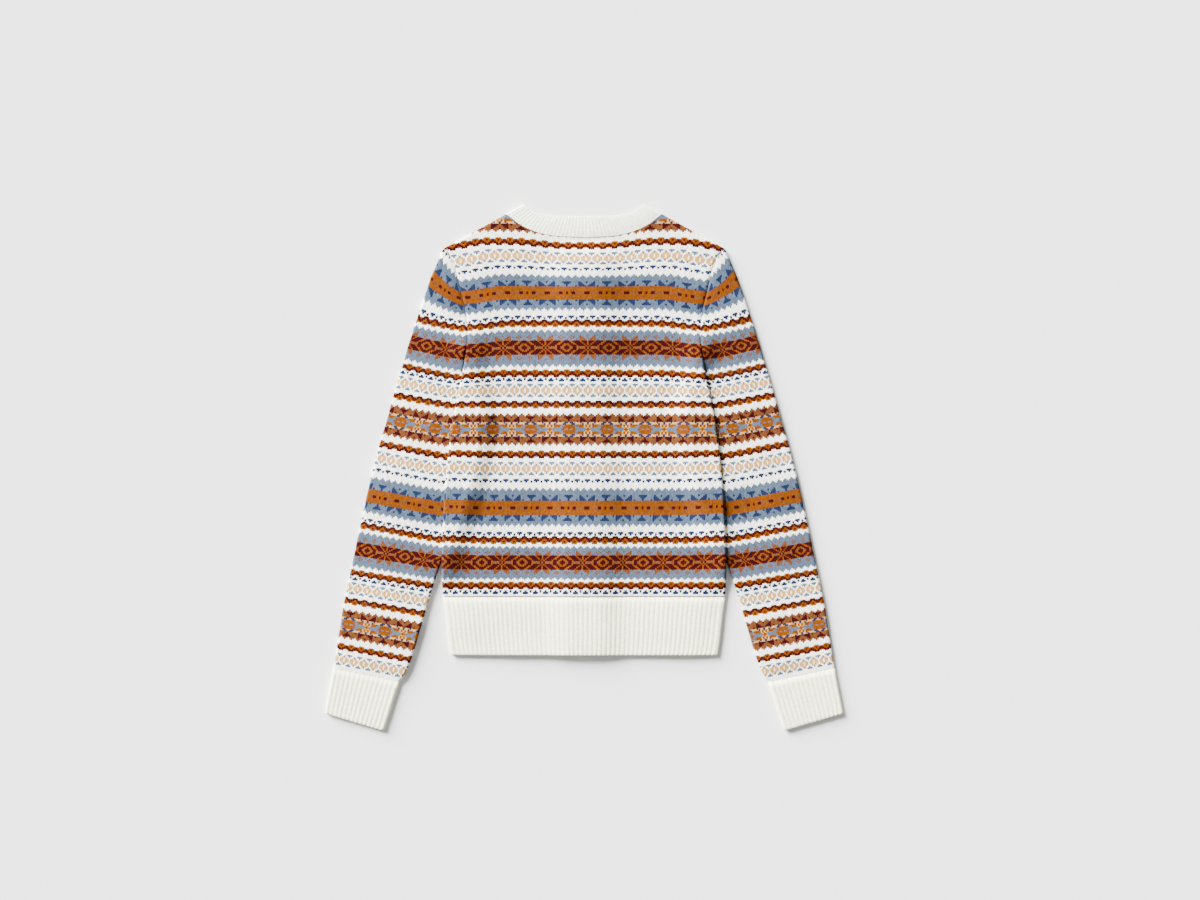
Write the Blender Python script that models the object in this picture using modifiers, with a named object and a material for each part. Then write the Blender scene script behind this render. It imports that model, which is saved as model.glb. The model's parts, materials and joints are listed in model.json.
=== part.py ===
"""Jacquard cardigan, laid flat on its front with its back up.

Metres, +Z up, +Y towards the neck. The origin is on the floor, under the
middle of the garment. Each cloth piece is a closed wall. A plan outline is
given once, for the half at +X, and the other half is its mirror image.
"""

import math
from collections import namedtuple

import bmesh
import bpy
from mathutils import Vector

GARMENT = "jacquard_cardigan"
CUTTERS = "button_cutters"

# Driving sizes, in metres.
WALL = 0.0022             # jacquard cloth, with the floats behind it
LAYERS = 0.0058           # front and back cloth together, laid on each other
SEAM_GAP = 0.0003         # space between pieces that are sewn together
RIB_RELIEF = 0.0006       # height of a rib over the groove beside it
NECK_EDGE_DROP = 0.0004   # the neckband is this much lower along its two edges
HEM_RIB = 0.0060          # from rib to rib at hem and cuffs
NECK_RIB = 0.0050         # from rib to rib at the neckband
BAND_RIB = 0.0060         # from rib to rib on the front bands
HEM_TOP = -0.1610         # where the hem rib meets the jacquard
HEM_BOTTOM = -0.2344
BAND_WIDTH = 0.0300       # button band and buttonhole band
FRONT_EDGE = BAND_WIDTH / 2.0 + SEAM_GAP
BAND_TOP = 0.2540         # top of the front bands, level with the neckband
BUTTON_COUNT = 7
BUTTON_RADIUS = 0.0075
BUTTON_HEIGHT = 0.0022
BUTTON_HOLE_RADIUS = 0.0008
BUTTON_HOLE_SPREAD = 0.0016
BUTTON_EDGE = 0.0005
BUTTON_END_SPACE = 0.0180  # from a band's end to its last button
BUTTON_SIDES = 16
HOLE_SIDES = 6
CUTTER_HEIGHTS = 3.0      # a cutter's length, in button heights
SHARP_ANGLE = math.radians(40.0)   # faces that meet more sharply keep a crisp edge

# How the layers lie on what is under them.
SLEEVE_LIFT = 0.0064      # a body side lies this much higher where a sleeve is under it
LIFT_BLEND = 0.0300       # the width over which it rises
LIFT_START, LIFT_FULL = 0.1950, 0.1400    # rises between these heights, above the armhole's foot
LIFT_FADE, LIFT_END = -0.1200, -0.1600    # and falls between these, where the sleeve comes out
RISE_BLEND = 0.0400       # the width over which the fronts rise to the bands
RISE_FADE, RISE_END = 0.2560, 0.2880      # the back comes down again above the bands

FOLD_TURN = LAYERS / 2.0  # radius of the cloth's outside where it folds
FINE_STEPS = (0.0, 0.3 * FOLD_TURN, FOLD_TURN)   # rows of points beside a fold
CURVE_STEPS = 12          # straight pieces between two points of a smooth outline

SHOULDER_COLUMNS = 8
NECK_COLUMNS = 6
ARMHOLE_ROWS = 7
SIDE_ROWS = 9
INNER_FADE = 3            # how quickly a side's bend dies out across a panel

Place = namedtuple("Place", "across up")
Reach = namedtuple("Reach", "up across")
# Across a sleeve from its outer fold to its inner fold. It is bowed by bow towards the
# body, and hold is the share of the armhole's lift that is left there.
Section = namedtuple("Section", "outer_across outer_up inner_across inner_up bow hold")

SIDE_FOLD = [             # folded side of the body, from the hem to the armhole's foot
    Place(across=0.1669, up=HEM_BOTTOM),
    Place(across=0.1706, up=-0.2094),
    Place(across=0.1731, up=-0.1844),
    Place(across=0.1762, up=HEM_TOP),
    Place(across=0.1775, up=-0.1156),
    Place(across=0.1744, up=-0.0406),
    Place(across=0.1700, up=0.0094),
    Place(across=0.1656, up=0.0469),
    Place(across=0.1588, up=0.0844),
    Place(across=0.1519, up=0.1156),
    Place(across=0.1469, up=0.1469),
]
ARMHOLE = [               # armhole seam, from the shoulder's tip to its foot
    Place(across=0.1763, up=0.2731),
    Place(across=0.1675, up=0.2656),
    Place(across=0.1600, up=0.2469),
    Place(across=0.1538, up=0.2206),
    Place(across=0.1481, up=0.1969),
    Place(across=0.1450, up=0.1694),
    Place(across=0.1469, up=0.1469),
]
NECK_POINT = Place(across=0.0975, up=0.3165)
BACK_NECK = [             # seam of the back and the neckband
    NECK_POINT,
    Place(across=0.0750, up=0.3006),
    Place(across=0.0438, up=0.2903),
    Place(across=0.0000, up=0.2871),
]
FRONT_NECK = [            # seam of a front and the neckband
    NECK_POINT,
    Place(across=0.0950, up=0.2900),
    Place(across=0.0870, up=0.2640),
    Place(across=0.0700, up=0.2430),
    Place(across=0.0450, up=0.2310),
    Place(across=FRONT_EDGE, up=0.2270),
]
BACK_NECK_EDGE = [        # free edge of the neckband behind the neck
    Place(across=0.0756, up=0.3288),
    Place(across=0.0588, up=0.3188),
    Place(across=0.0375, up=0.3148),
    Place(across=0.0000, up=0.3138),
]
FRONT_NECK_EDGE = [       # and in front
    Place(across=0.0756, up=0.3288),
    Place(across=0.0720, up=0.3000),
    Place(across=0.0660, up=0.2800),
    Place(across=0.0530, up=0.2650),
    Place(across=0.0350, up=0.2570),
    Place(across=FRONT_EDGE, up=BAND_TOP),
]
SLEEVE = [                # sections of a sleeve, from its outer fold to its inner fold
    Section(0.1835, 0.2555, 0.1478, 0.1405, bow=0.006, hold=0.60),
    Section(0.1925, 0.2344, 0.1488, 0.1300, bow=0.005, hold=0.25),
    Section(0.2045, 0.1995, 0.1506, 0.1175, bow=0.004, hold=0.0),
    Section(0.2175, 0.1594, 0.1410, 0.0960, bow=0.003, hold=0.0),
    Section(0.2350, 0.1006, 0.1320, 0.0660, bow=0.001, hold=0.0),
    Section(0.2575, 0.0219, 0.1420, -0.0060, bow=0.0, hold=0.0),
    Section(0.2700, -0.0281, 0.1560, -0.0560, bow=0.0, hold=0.0),
    Section(0.2888, -0.1156, 0.1865, -0.1425, bow=0.0, hold=0.0),
    Section(0.2994, -0.1656, 0.2013, -0.1915, bow=0.0, hold=0.0),
    Section(0.3070, -0.2120, 0.2135, -0.2330, bow=0.0, hold=0.0),
    Section(0.3118, -0.2430, 0.2240, -0.2595, bow=0.0, hold=0.0),
    Section(0.3130, -0.2500, 0.2300, -0.2672, bow=0.0, hold=0.0),
]
CUFF = [
    Section(0.3131, -0.2503, 0.2301, -0.2675, bow=0.0, hold=0.0),
    Section(0.3241, -0.3069, 0.2496, -0.3288, bow=0.0, hold=0.0),
]
LIFT_REACH = [            # where the body is fully up on the sleeve: height, distance out
    Reach(up=0.1469, across=0.1430),
    Reach(up=0.1175, across=0.1440),
    Reach(up=0.0960, across=0.1370),
    Reach(up=0.0660, across=0.1300),
    Reach(up=-0.0060, across=0.1400),
    Reach(up=-0.0560, across=0.1540),
    Reach(up=-0.1200, across=0.1750),
]

JACQUARD = ("jacquard_knit", (0.35, 0.17, 0.10, 1.0), 0.95)
RIB_KNIT = ("ivory_rib_knit", (0.84, 0.83, 0.78, 1.0), 0.92)
RESIN = ("button_resin", (0.80, 0.76, 0.66, 1.0), 0.35)


# Outlines and heights

def smooth(t):
    t = min(max(t, 0.0), 1.0)
    return t * t * (3.0 - 2.0 * t)


def across_at(table, up):
    """The distance out at a height, between the rows of a table."""
    rows = sorted(table, key=lambda row: row.up)
    up = min(max(up, rows[0].up), rows[-1].up)
    for low, high in zip(rows, rows[1:]):
        if up <= high.up:
            share = (up - low.up) / (high.up - low.up)
            return low.across + share * (high.across - low.across)
    return rows[-1].across


def path_length(path):
    return sum((b - a).length for a, b in zip(path, path[1:]))


def along(path, distances):
    """Points of a path of straight pieces, at distances from its start."""
    found = []
    for distance in distances:
        left = distance
        for a, b in zip(path, path[1:]):
            span = (b - a).length
            if left <= span or b is path[-1]:
                found.append(a.lerp(b, min(left / span, 1.0)))
                break
            left -= span
    return found


def rounded(places):
    """A path of short straight pieces on the smooth curve through some places."""
    points = [Vector((place.across, place.up)) for place in places]
    before = 2.0 * points[0] - points[1]
    after = 2.0 * points[-1] - points[-2]
    chain = [before] + points + [after]
    path = []
    for a, b, c, d in zip(chain, chain[1:], chain[2:], chain[3:]):
        for step in range(CURVE_STEPS):
            t = step / CURVE_STEPS
            bend = 2.0 * a - 5.0 * b + 4.0 * c - d
            twist = 3.0 * b - a - 3.0 * c + d
            path.append(0.5 * (2.0 * b + (c - a) * t + bend * t * t + twist * t ** 3))
    path.append(points[-1])
    return path


def fold_distances(length, count, fine_end=True):
    """Distances along a line of count spans, with short spans beside its folded ends."""
    start = list(FINE_STEPS)
    end = [length - step for step in reversed(FINE_STEPS)] if fine_end else [length]
    reach = end[0] - start[-1]
    middle = [start[-1] + reach * step / count for step in range(1, count)]
    return start + middle + end


def side_lift(across, up):
    """How much higher the body lies where its side is on a sleeve."""
    full = across_at(LIFT_REACH, up)
    out = smooth((abs(across) - full + LIFT_BLEND) / LIFT_BLEND)
    above = smooth((LIFT_START - up) / (LIFT_START - LIFT_FULL))
    below = smooth((up - LIFT_END) / (LIFT_FADE - LIFT_END))
    return SLEEVE_LIFT * out * above * below


def centre_share(across):
    return smooth(1.0 - (abs(across) - BAND_WIDTH / 2.0) / RISE_BLEND)


BUTTONHOLE_BAND_RISE = BUTTON_HEIGHT + SEAM_GAP
BUTTON_BAND_RISE = BUTTONHOLE_BAND_RISE + WALL + SEAM_GAP
BACK_RISE = BUTTON_BAND_RISE + 2.0 * WALL + SEAM_GAP - LAYERS


def back_raise(across, up):
    over_bands = smooth((RISE_END - up) / (RISE_END - RISE_FADE))
    return side_lift(across, up) + BACK_RISE * centre_share(across) * over_bands


def front_raise(band_rise):
    def raised(across, up):
        return side_lift(across, up) + band_rise * centre_share(across)
    return raised


def lay(spot, layer, folds, raised, start=SEAM_GAP / 2.0, relief=0.0, seam_way=None):
    """Outer and inner point of a cloth layer over a plan point.

    layer is 1 for the upper layer and -1 for the one under it. Near a fold
    both turn towards the height half way between them, and the inner point
    moves in from the fold. On a seam it moves along the seam, by seam_way.
    """
    nearest = FOLD_TURN
    inward = Vector((0.0, 0.0))
    for fold in folds:
        for a, b in zip(fold, fold[1:]):
            edge = b - a
            share = min(max((spot - a).dot(edge) / edge.length_squared, 0.0), 1.0)
            distance = (spot - a - share * edge).length
            if distance < nearest:
                nearest = distance
                inward = seam_way or Vector((-edge.y, edge.x)).normalized()
    lean = 1.0 - nearest / FOLD_TURN
    turn = math.sqrt(max(1.0 - lean * lean, 0.0))
    height = FOLD_TURN + raised(spot.x, spot.y)
    outside = start + (FOLD_TURN - start - relief) * turn
    inside = start + (FOLD_TURN - start - WALL) * turn
    under = spot + inward * WALL * lean
    outer = Vector((spot.x, spot.y, height + layer * outside))
    inner = Vector((under.x, under.y, height + layer * inside))
    return outer, inner


# Solids

def mirrored(grid):
    return [[Vector((-point.x, point.y, point.z)) for point in row] for row in grid]


def add_object(name, mesh_builder, finish):
    mesh = bpy.data.meshes.new(name)
    mesh_builder.to_mesh(mesh)
    mesh_builder.free()
    thing = bpy.data.objects.new(name, mesh)
    bpy.data.collections[GARMENT].objects.link(thing)
    mesh.materials.append(material(*finish))
    mesh.shade_smooth()
    mesh.set_sharp_from_angle(angle=SHARP_ANGLE)
    return thing


def material(name, colour, roughness):
    found = bpy.data.materials.get(name)
    if found:
        return found
    made = bpy.data.materials.new(name)
    made.use_nodes = True
    shader = made.node_tree.nodes["Principled BSDF"]
    shader.inputs["Base Color"].default_value = colour
    shader.inputs["Roughness"].default_value = roughness
    shader.inputs["Metallic"].default_value = 0.0
    return made


def wall(name, outer, inner, finish, closed=False):
    """A closed wall between two grids of points, open or joined round into a tube."""
    builder = bmesh.new()
    out = [[builder.verts.new(point) for point in row] for row in outer]
    into = [[builder.verts.new(point) for point in row] for row in inner]
    count = len(outer[0])
    spans = [(i, (i + 1) % count) for i in range(count if closed else count - 1)]
    for grid in (out, into):
        for low, high in zip(grid, grid[1:]):
            for i, k in spans:
                builder.faces.new((low[i], low[k], high[k], high[i]))
    for edge_out, edge_in in ((out[0], into[0]), (out[-1], into[-1])):
        for i, k in spans:
            builder.faces.new((edge_out[i], edge_out[k], edge_in[k], edge_in[i]))
    if not closed:
        for end in (0, -1):
            for j in range(len(out) - 1):
                builder.faces.new((out[j][end], out[j + 1][end], into[j + 1][end], into[j][end]))
    bmesh.ops.recalc_face_normals(builder, faces=builder.faces)
    bmesh.ops.triangulate(builder, faces=builder.faces, quad_method="FIXED")
    return add_object(name, builder, finish)


def patch(bottom, top, outer, inner):
    """Rows of points that fill an outline given by its four sides.

    The bend of the outer side dies out quickly towards the inner one.
    """
    width = len(bottom) - 1
    rows = []
    for j in range(len(outer)):
        v = (outer[j] - outer[0]).length / (outer[-1] - outer[0]).length
        row = []
        for i in range(width + 1):
            u = (bottom[i] - bottom[0]).length / (bottom[-1] - bottom[0]).length
            up = bottom[i].lerp(top[i], v)
            fade = 1.0 - (1.0 - u) ** INNER_FADE
            over = outer[j].lerp(inner[j], fade)
            corners = bottom[0].lerp(bottom[-1], fade).lerp(top[0].lerp(top[-1], fade), v)
            row.append(up + over - corners)
        rows.append(row)
    return rows


# Lines that several pieces share

side_fold = rounded(SIDE_FOLD)
armhole_curve = rounded(ARMHOLE)
armhole_line = along(armhole_curve, fold_distances(path_length(armhole_curve), ARMHOLE_ROWS))
shoulder_fold = [armhole_line[0], Vector(NECK_POINT)]
body_folds = [side_fold, shoulder_fold]


def ways_from_ends(line):
    """Directions along a line of points, from each one towards the line's middle."""
    half = len(line) // 2
    onward = [b - a for a, b in zip(line[:half], line[1:])]
    back = [a - b for a, b in zip(line[half - 1:], line[half:])]
    return [way.normalized() for way in onward + back]


armhole_ways = ways_from_ends(armhole_line)


def neck_line(places):
    curve = rounded(places)
    length = path_length(curve)
    return along(curve, [length * step / NECK_COLUMNS for step in range(NECK_COLUMNS + 1)])


back_neck = neck_line(BACK_NECK)
front_neck = neck_line(FRONT_NECK)


def along_height(path, up):
    for a, b in zip(path, path[1:]):
        if a.y <= up <= b.y:
            return a.lerp(b, (up - a.y) / (b.y - a.y))
    return path[-1].copy()


def panel_plan(neck, edge_across):
    """Rows of plan points of half a body panel, from its side fold to its middle."""
    inset = Vector((SEAM_GAP / 2.0, 0.0))
    shoulder_length = path_length(shoulder_fold)
    shoulder = along(shoulder_fold, fold_distances(shoulder_length, SHOULDER_COLUMNS, False))
    top = shoulder + neck[1:]
    top[0] = top[0] - inset
    top[-1] = Vector((edge_across, neck[-1].y))
    hem_edge = along_height(side_fold, HEM_TOP)
    spread = (hem_edge.x - edge_across) / (top[0].x - edge_across)
    bottom = [Vector((edge_across + (p.x - edge_across) * spread, HEM_TOP)) for p in top]
    foot = armhole_line[-1]
    rows_up = [HEM_TOP + (foot.y - HEM_TOP) * step / SIDE_ROWS for step in range(SIDE_ROWS)]
    side = [along_height(side_fold, up) for up in rows_up]
    side += [point - inset for point in reversed(armhole_line)]
    stretch = (top[-1].y - HEM_TOP) / (side[-1].y - HEM_TOP)
    middle = [Vector((edge_across, HEM_TOP + (p.y - HEM_TOP) * stretch)) for p in side]
    return patch(bottom, top, side, middle)


# Cloth pieces

def join_halves(rows):
    """Whole rows from half rows that run from the fold at +X to the middle."""
    return [half + left[::-1][1:] for half, left in zip(rows, mirrored(rows))]


def laid(plan, layer, folds, raised, grooves=None, seam_ways=None):
    """Outer and inner grid over rows of plan points."""
    depth = grooves or [0.0] * len(plan[0])
    ways = seam_ways or {}
    outer = []
    inner = []
    for j, row in enumerate(plan):
        pairs = [lay(spot, layer, folds, raised, relief=drop, seam_way=ways.get((j, i)))
                 for i, (spot, drop) in enumerate(zip(row, depth))]
        outer.append([pair[0] for pair in pairs])
        inner.append([pair[1] for pair in pairs])
    return outer, inner


def panel_seam_ways(neck):
    """Ways along the armhole and the neck for the points of a body panel on them."""
    ways = {(SIDE_ROWS + j, 0): way for j, way in enumerate(reversed(armhole_ways))}
    top_row = SIDE_ROWS + len(armhole_line) - 1
    neck_column = len(FINE_STEPS) + SHOULDER_COLUMNS - 1
    ways[(top_row, neck_column)] = (neck[1] - neck[0]).normalized()
    return ways


def make_back():
    plan = panel_plan(back_neck, 0.0)
    ways = panel_seam_ways(back_neck)
    outer, inner = laid(plan, 1, body_folds, back_raise, seam_ways=ways)
    wall("back", join_halves(outer), join_halves(inner), JACQUARD)


def make_front(name, side, band_rise):
    plan = panel_plan(front_neck, FRONT_EDGE)
    ways = panel_seam_ways(front_neck)
    outer, inner = laid(plan, -1, body_folds, front_raise(band_rise), seam_ways=ways)
    if side < 0:
        outer, inner = mirrored(outer), mirrored(inner)
    wall(name, outer, inner, JACQUARD)


def rib_distances(length, pitch, fine_end=False):
    """Distances along a line, from a fold, with a ridge or groove every half pitch."""
    end_space = FOLD_TURN if fine_end else 0.0
    reach = length - FOLD_TURN - end_space
    count = 2 * round(reach / pitch)
    return fold_distances(length, count, fine_end)


def rib_grooves(distances):
    """How deep each point lies: every second one between the folds is a groove."""
    fine = len(FINE_STEPS)
    return [RIB_RELIEF if i >= fine and (i - fine) % 2 == 0 else 0.0
            for i in range(len(distances))]


def hem_plan(edge_across):
    top = along_height(side_fold, HEM_TOP)
    distances = rib_distances(top.x - edge_across, HEM_RIB)
    shares = [1.0 - distance / distances[-1] for distance in distances]
    rows = []
    for up in (HEM_BOTTOM, HEM_TOP - SEAM_GAP):
        width = along_height(side_fold, up).x - edge_across
        rows.append([Vector((edge_across + width * share, up)) for share in shares])
    return rows, rib_grooves(distances)


def make_back_hem():
    plan, grooves = hem_plan(0.0)
    outer, inner = laid(plan, 1, body_folds, back_raise, grooves)
    wall("back_hem_rib", join_halves(outer), join_halves(inner), RIB_KNIT)


def make_front_hem(name, side, band_rise):
    plan, grooves = hem_plan(FRONT_EDGE)
    outer, inner = laid(plan, -1, body_folds, front_raise(band_rise), grooves)
    if side < 0:
        outer, inner = mirrored(outer), mirrored(inner)
    wall(name, outer, inner, RIB_KNIT)


def section_points(section, distances):
    """Plan points across a sleeve, bowed towards the body."""
    start = Vector((section.outer_across, section.outer_up))
    end = Vector((section.inner_across, section.inner_up))
    across = end - start
    sideways = Vector((across.y, -across.x)).normalized()
    points = []
    for distance in distances:
        share = distance / distances[-1]
        bow = section.bow * 4.0 * share * (1.0 - share)
        points.append(start.lerp(end, share) + bow * sideways)
    return points


def section_width(section):
    return math.hypot(section.outer_across - section.inner_across,
                      section.outer_up - section.inner_up)


def tube(name, rows, lifts, side, finish, grooves=None, seam_ways=None):
    """A flattened tube: each row of plan points is laid on top, and again underneath."""
    folds = [[row[0] for row in reversed(rows)], [row[-1] for row in rows]]
    depth = grooves or [0.0] * len(rows[0])
    no_ways = [None] * len(rows[0])
    row_ways = [seam_ways or no_ways] + [no_ways] * (len(rows) - 1)
    outer = []
    inner = []
    for row, lift, ways in zip(rows, lifts, row_ways):
        upper = list(zip(row, lift, depth, ways))
        ring = [(1, place) for place in upper] + [(-1, place) for place in upper[-2:0:-1]]
        pairs = [lay(spot, layer, folds, lambda across, up, rise=rise: rise, 0.0, drop, way)
                 for layer, (spot, rise, drop, way) in ring]
        outer.append([pair[0] for pair in pairs])
        inner.append([pair[1] for pair in pairs])
    if side < 0:
        outer, inner = mirrored(outer), mirrored(inner)
    wall(name, outer, inner, finish, closed=True)


def make_sleeve(name, side):
    outset = Vector((SEAM_GAP / 2.0, 0.0))
    rows = [[point + outset for point in armhole_line]]
    seam_lift = [side_lift(point.x, point.y) for point in armhole_line]
    lifts = [seam_lift]
    for section in SLEEVE:
        distances = fold_distances(section_width(section), ARMHOLE_ROWS)
        rows.append(section_points(section, distances))
        lifts.append([section.hold * lift for lift in seam_lift])
    tube(name, rows, lifts, side, JACQUARD, seam_ways=armhole_ways)


def make_cuff(name, side):
    distances = rib_distances(section_width(CUFF[0]), HEM_RIB, True)
    rows = [section_points(section, distances) for section in CUFF]
    grooves = rib_grooves(distances)
    grooves[-len(FINE_STEPS):] = [0.0] * len(FINE_STEPS)
    lifts = [[0.0] * len(distances) for row in rows]
    tube(name, rows, lifts, side, RIB_KNIT, grooves)


def neckband_part(seam, edge, layer, raised):
    """Grid rows of half the neckband on one layer, from the fold at the neck point."""
    length = path_length(seam)
    distances = rib_distances(length, NECK_RIB)
    seam_points = along(seam, distances)
    edge_length = path_length(edge)
    edge_points = along(edge, [edge_length * distance / length for distance in distances])
    fold = [Vector(NECK_POINT), edge[0]]
    grooves = rib_grooves(distances)
    outer = []
    inner = []
    seam_way = (back_neck[1] - back_neck[0]).normalized()
    for share, drop in ((0.0, NECK_EDGE_DROP), (0.5, 0.0), (1.0, NECK_EDGE_DROP)):
        way = seam_way if share == 0.0 else None
        pairs = []
        for at_seam, at_edge, groove in zip(seam_points, edge_points, grooves):
            start = at_seam + (at_edge - at_seam).normalized() * SEAM_GAP
            spot = start.lerp(at_edge, share)
            pairs.append(lay(spot, layer, [fold], raised, 0.0, max(groove, drop), way))
        outer.append([pair[0] for pair in pairs])
        inner.append([pair[1] for pair in pairs])
    return outer, inner


def make_neckband():
    halves = []
    for side, band_rise in ((1, BUTTONHOLE_BAND_RISE), (-1, BUTTON_BAND_RISE)):
        behind = neckband_part(back_neck, rounded(BACK_NECK_EDGE), 1, back_raise)
        before = neckband_part(front_neck, rounded(FRONT_NECK_EDGE), -1, front_raise(band_rise))
        for behind_rows, before_rows in zip(behind, before):
            rows = [front[::-1] + back[1:] for front, back in zip(before_rows, behind_rows)]
            halves.append(mirrored(rows) if side < 0 else rows)
    right_outer, right_inner, left_outer, left_inner = halves
    outer = [right + left[::-1][1:] for right, left in zip(right_outer, left_outer)]
    inner = [right + left[::-1][1:] for right, left in zip(right_inner, left_inner)]
    wall("neckband", outer, inner, RIB_KNIT)


def make_front_band(name, rise):
    count = 2 * round(BAND_WIDTH / BAND_RIB)
    across = [BAND_WIDTH * (i / count - 0.5) for i in range(count + 1)]
    outer = []
    inner = []
    for up in (HEM_BOTTOM, HEM_TOP, 0.0, BAND_TOP):
        outer.append([Vector((x, up, rise + RIB_RELIEF * (i % 2))) for i, x in enumerate(across)])
        inner.append([Vector((x, up, rise + WALL)) for x in across])
    wall(name, outer, inner, RIB_KNIT)


# Buttons

def make_disc(name, radius, height, segments, centres):
    builder = bmesh.new()
    for x, y in centres:
        made = bmesh.ops.create_cone(builder, cap_ends=True, segments=segments,
                                     radius1=radius, radius2=radius, depth=height)
        bmesh.ops.translate(builder, verts=made["verts"], vec=(x, y, height / 2.0))
    mesh = bpy.data.meshes.new(name)
    builder.to_mesh(mesh)
    builder.free()
    return bpy.data.objects.new(name, mesh)


def make_buttons():
    button = make_disc("button_1", BUTTON_RADIUS, BUTTON_HEIGHT, BUTTON_SIDES, [(0.0, 0.0)])
    bpy.data.collections[GARMENT].objects.link(button)
    edge = button.modifiers.new("rounded edge", "BEVEL")
    edge.width = BUTTON_EDGE
    edge.segments = 1
    edge.limit_method = "ANGLE"
    spread = BUTTON_HOLE_SPREAD
    holes = [(x, y) for x in (-spread, spread) for y in (-spread, spread)]
    cutter_height = CUTTER_HEIGHTS * BUTTON_HEIGHT
    cutter = make_disc("thread_holes", BUTTON_HOLE_RADIUS, cutter_height, HOLE_SIDES, holes)
    bpy.data.collections[CUTTERS].objects.link(cutter)
    cutter.location.z = (BUTTON_HEIGHT - cutter_height) / 2.0
    cutter.hide_render = True
    cutter.display_type = "WIRE"
    cut = button.modifiers.new("thread holes", "BOOLEAN")
    cut.operation = "DIFFERENCE"
    cut.object = cutter
    bpy.context.view_layer.update()
    depsgraph = bpy.context.evaluated_depsgraph_get()
    shaped = bpy.data.meshes.new_from_object(button.evaluated_get(depsgraph))
    button.modifiers.clear()
    button.data = shaped
    shaped.materials.clear()
    shaped.materials.append(material(*RESIN))
    first = HEM_BOTTOM + BUTTON_END_SPACE
    last = BAND_TOP - BUTTON_END_SPACE
    for index in range(BUTTON_COUNT):
        piece = button if index == 0 else bpy.data.objects.new(f"button_{index + 1}", shaped)
        if index:
            bpy.data.collections[GARMENT].objects.link(piece)
        piece.location = (0.0, first + (last - first) * index / (BUTTON_COUNT - 1), 0.0)


def main():
    for thing in list(bpy.data.objects):
        bpy.data.objects.remove(thing, do_unlink=True)
    for name in (GARMENT, CUTTERS):
        bpy.context.scene.collection.children.link(bpy.data.collections.new(name))
    make_back()
    make_front("right_front", 1, BUTTONHOLE_BAND_RISE)
    make_front("left_front", -1, BUTTON_BAND_RISE)
    make_sleeve("right_sleeve", 1)
    make_sleeve("left_sleeve", -1)
    make_back_hem()
    make_front_hem("right_front_hem_rib", 1, BUTTONHOLE_BAND_RISE)
    make_front_hem("left_front_hem_rib", -1, BUTTON_BAND_RISE)
    make_cuff("right_cuff", 1)
    make_cuff("left_cuff", -1)
    make_neckband()
    make_front_band("buttonhole_band", BUTTONHOLE_BAND_RISE)
    make_front_band("button_band", BUTTON_BAND_RISE)
    make_buttons()


main()
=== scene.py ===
# Jacquard cardigan laid flat on its front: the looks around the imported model.
# Metres, +Y towards the neck, the floor at z = 0.
import json
import math
import random

import bmesh
import bpy
import numpy as np
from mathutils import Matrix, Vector
from mathutils.geometry import delaunay_2d_cdt

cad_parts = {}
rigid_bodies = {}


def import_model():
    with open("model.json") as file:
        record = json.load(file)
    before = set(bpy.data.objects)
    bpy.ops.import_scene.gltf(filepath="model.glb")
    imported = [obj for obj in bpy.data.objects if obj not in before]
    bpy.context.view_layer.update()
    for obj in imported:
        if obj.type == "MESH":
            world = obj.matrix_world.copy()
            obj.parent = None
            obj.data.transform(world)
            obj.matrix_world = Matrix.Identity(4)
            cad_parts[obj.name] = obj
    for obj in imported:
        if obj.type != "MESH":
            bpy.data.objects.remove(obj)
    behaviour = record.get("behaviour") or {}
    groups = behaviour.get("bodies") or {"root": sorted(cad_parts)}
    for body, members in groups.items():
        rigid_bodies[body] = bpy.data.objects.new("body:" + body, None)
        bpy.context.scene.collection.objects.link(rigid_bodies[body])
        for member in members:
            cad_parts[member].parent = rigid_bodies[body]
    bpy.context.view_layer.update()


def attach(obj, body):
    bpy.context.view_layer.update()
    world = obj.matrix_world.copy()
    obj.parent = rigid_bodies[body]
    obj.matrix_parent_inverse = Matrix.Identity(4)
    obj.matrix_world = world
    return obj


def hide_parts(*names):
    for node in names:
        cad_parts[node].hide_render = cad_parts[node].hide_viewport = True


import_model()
print("frame loaded")

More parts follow.
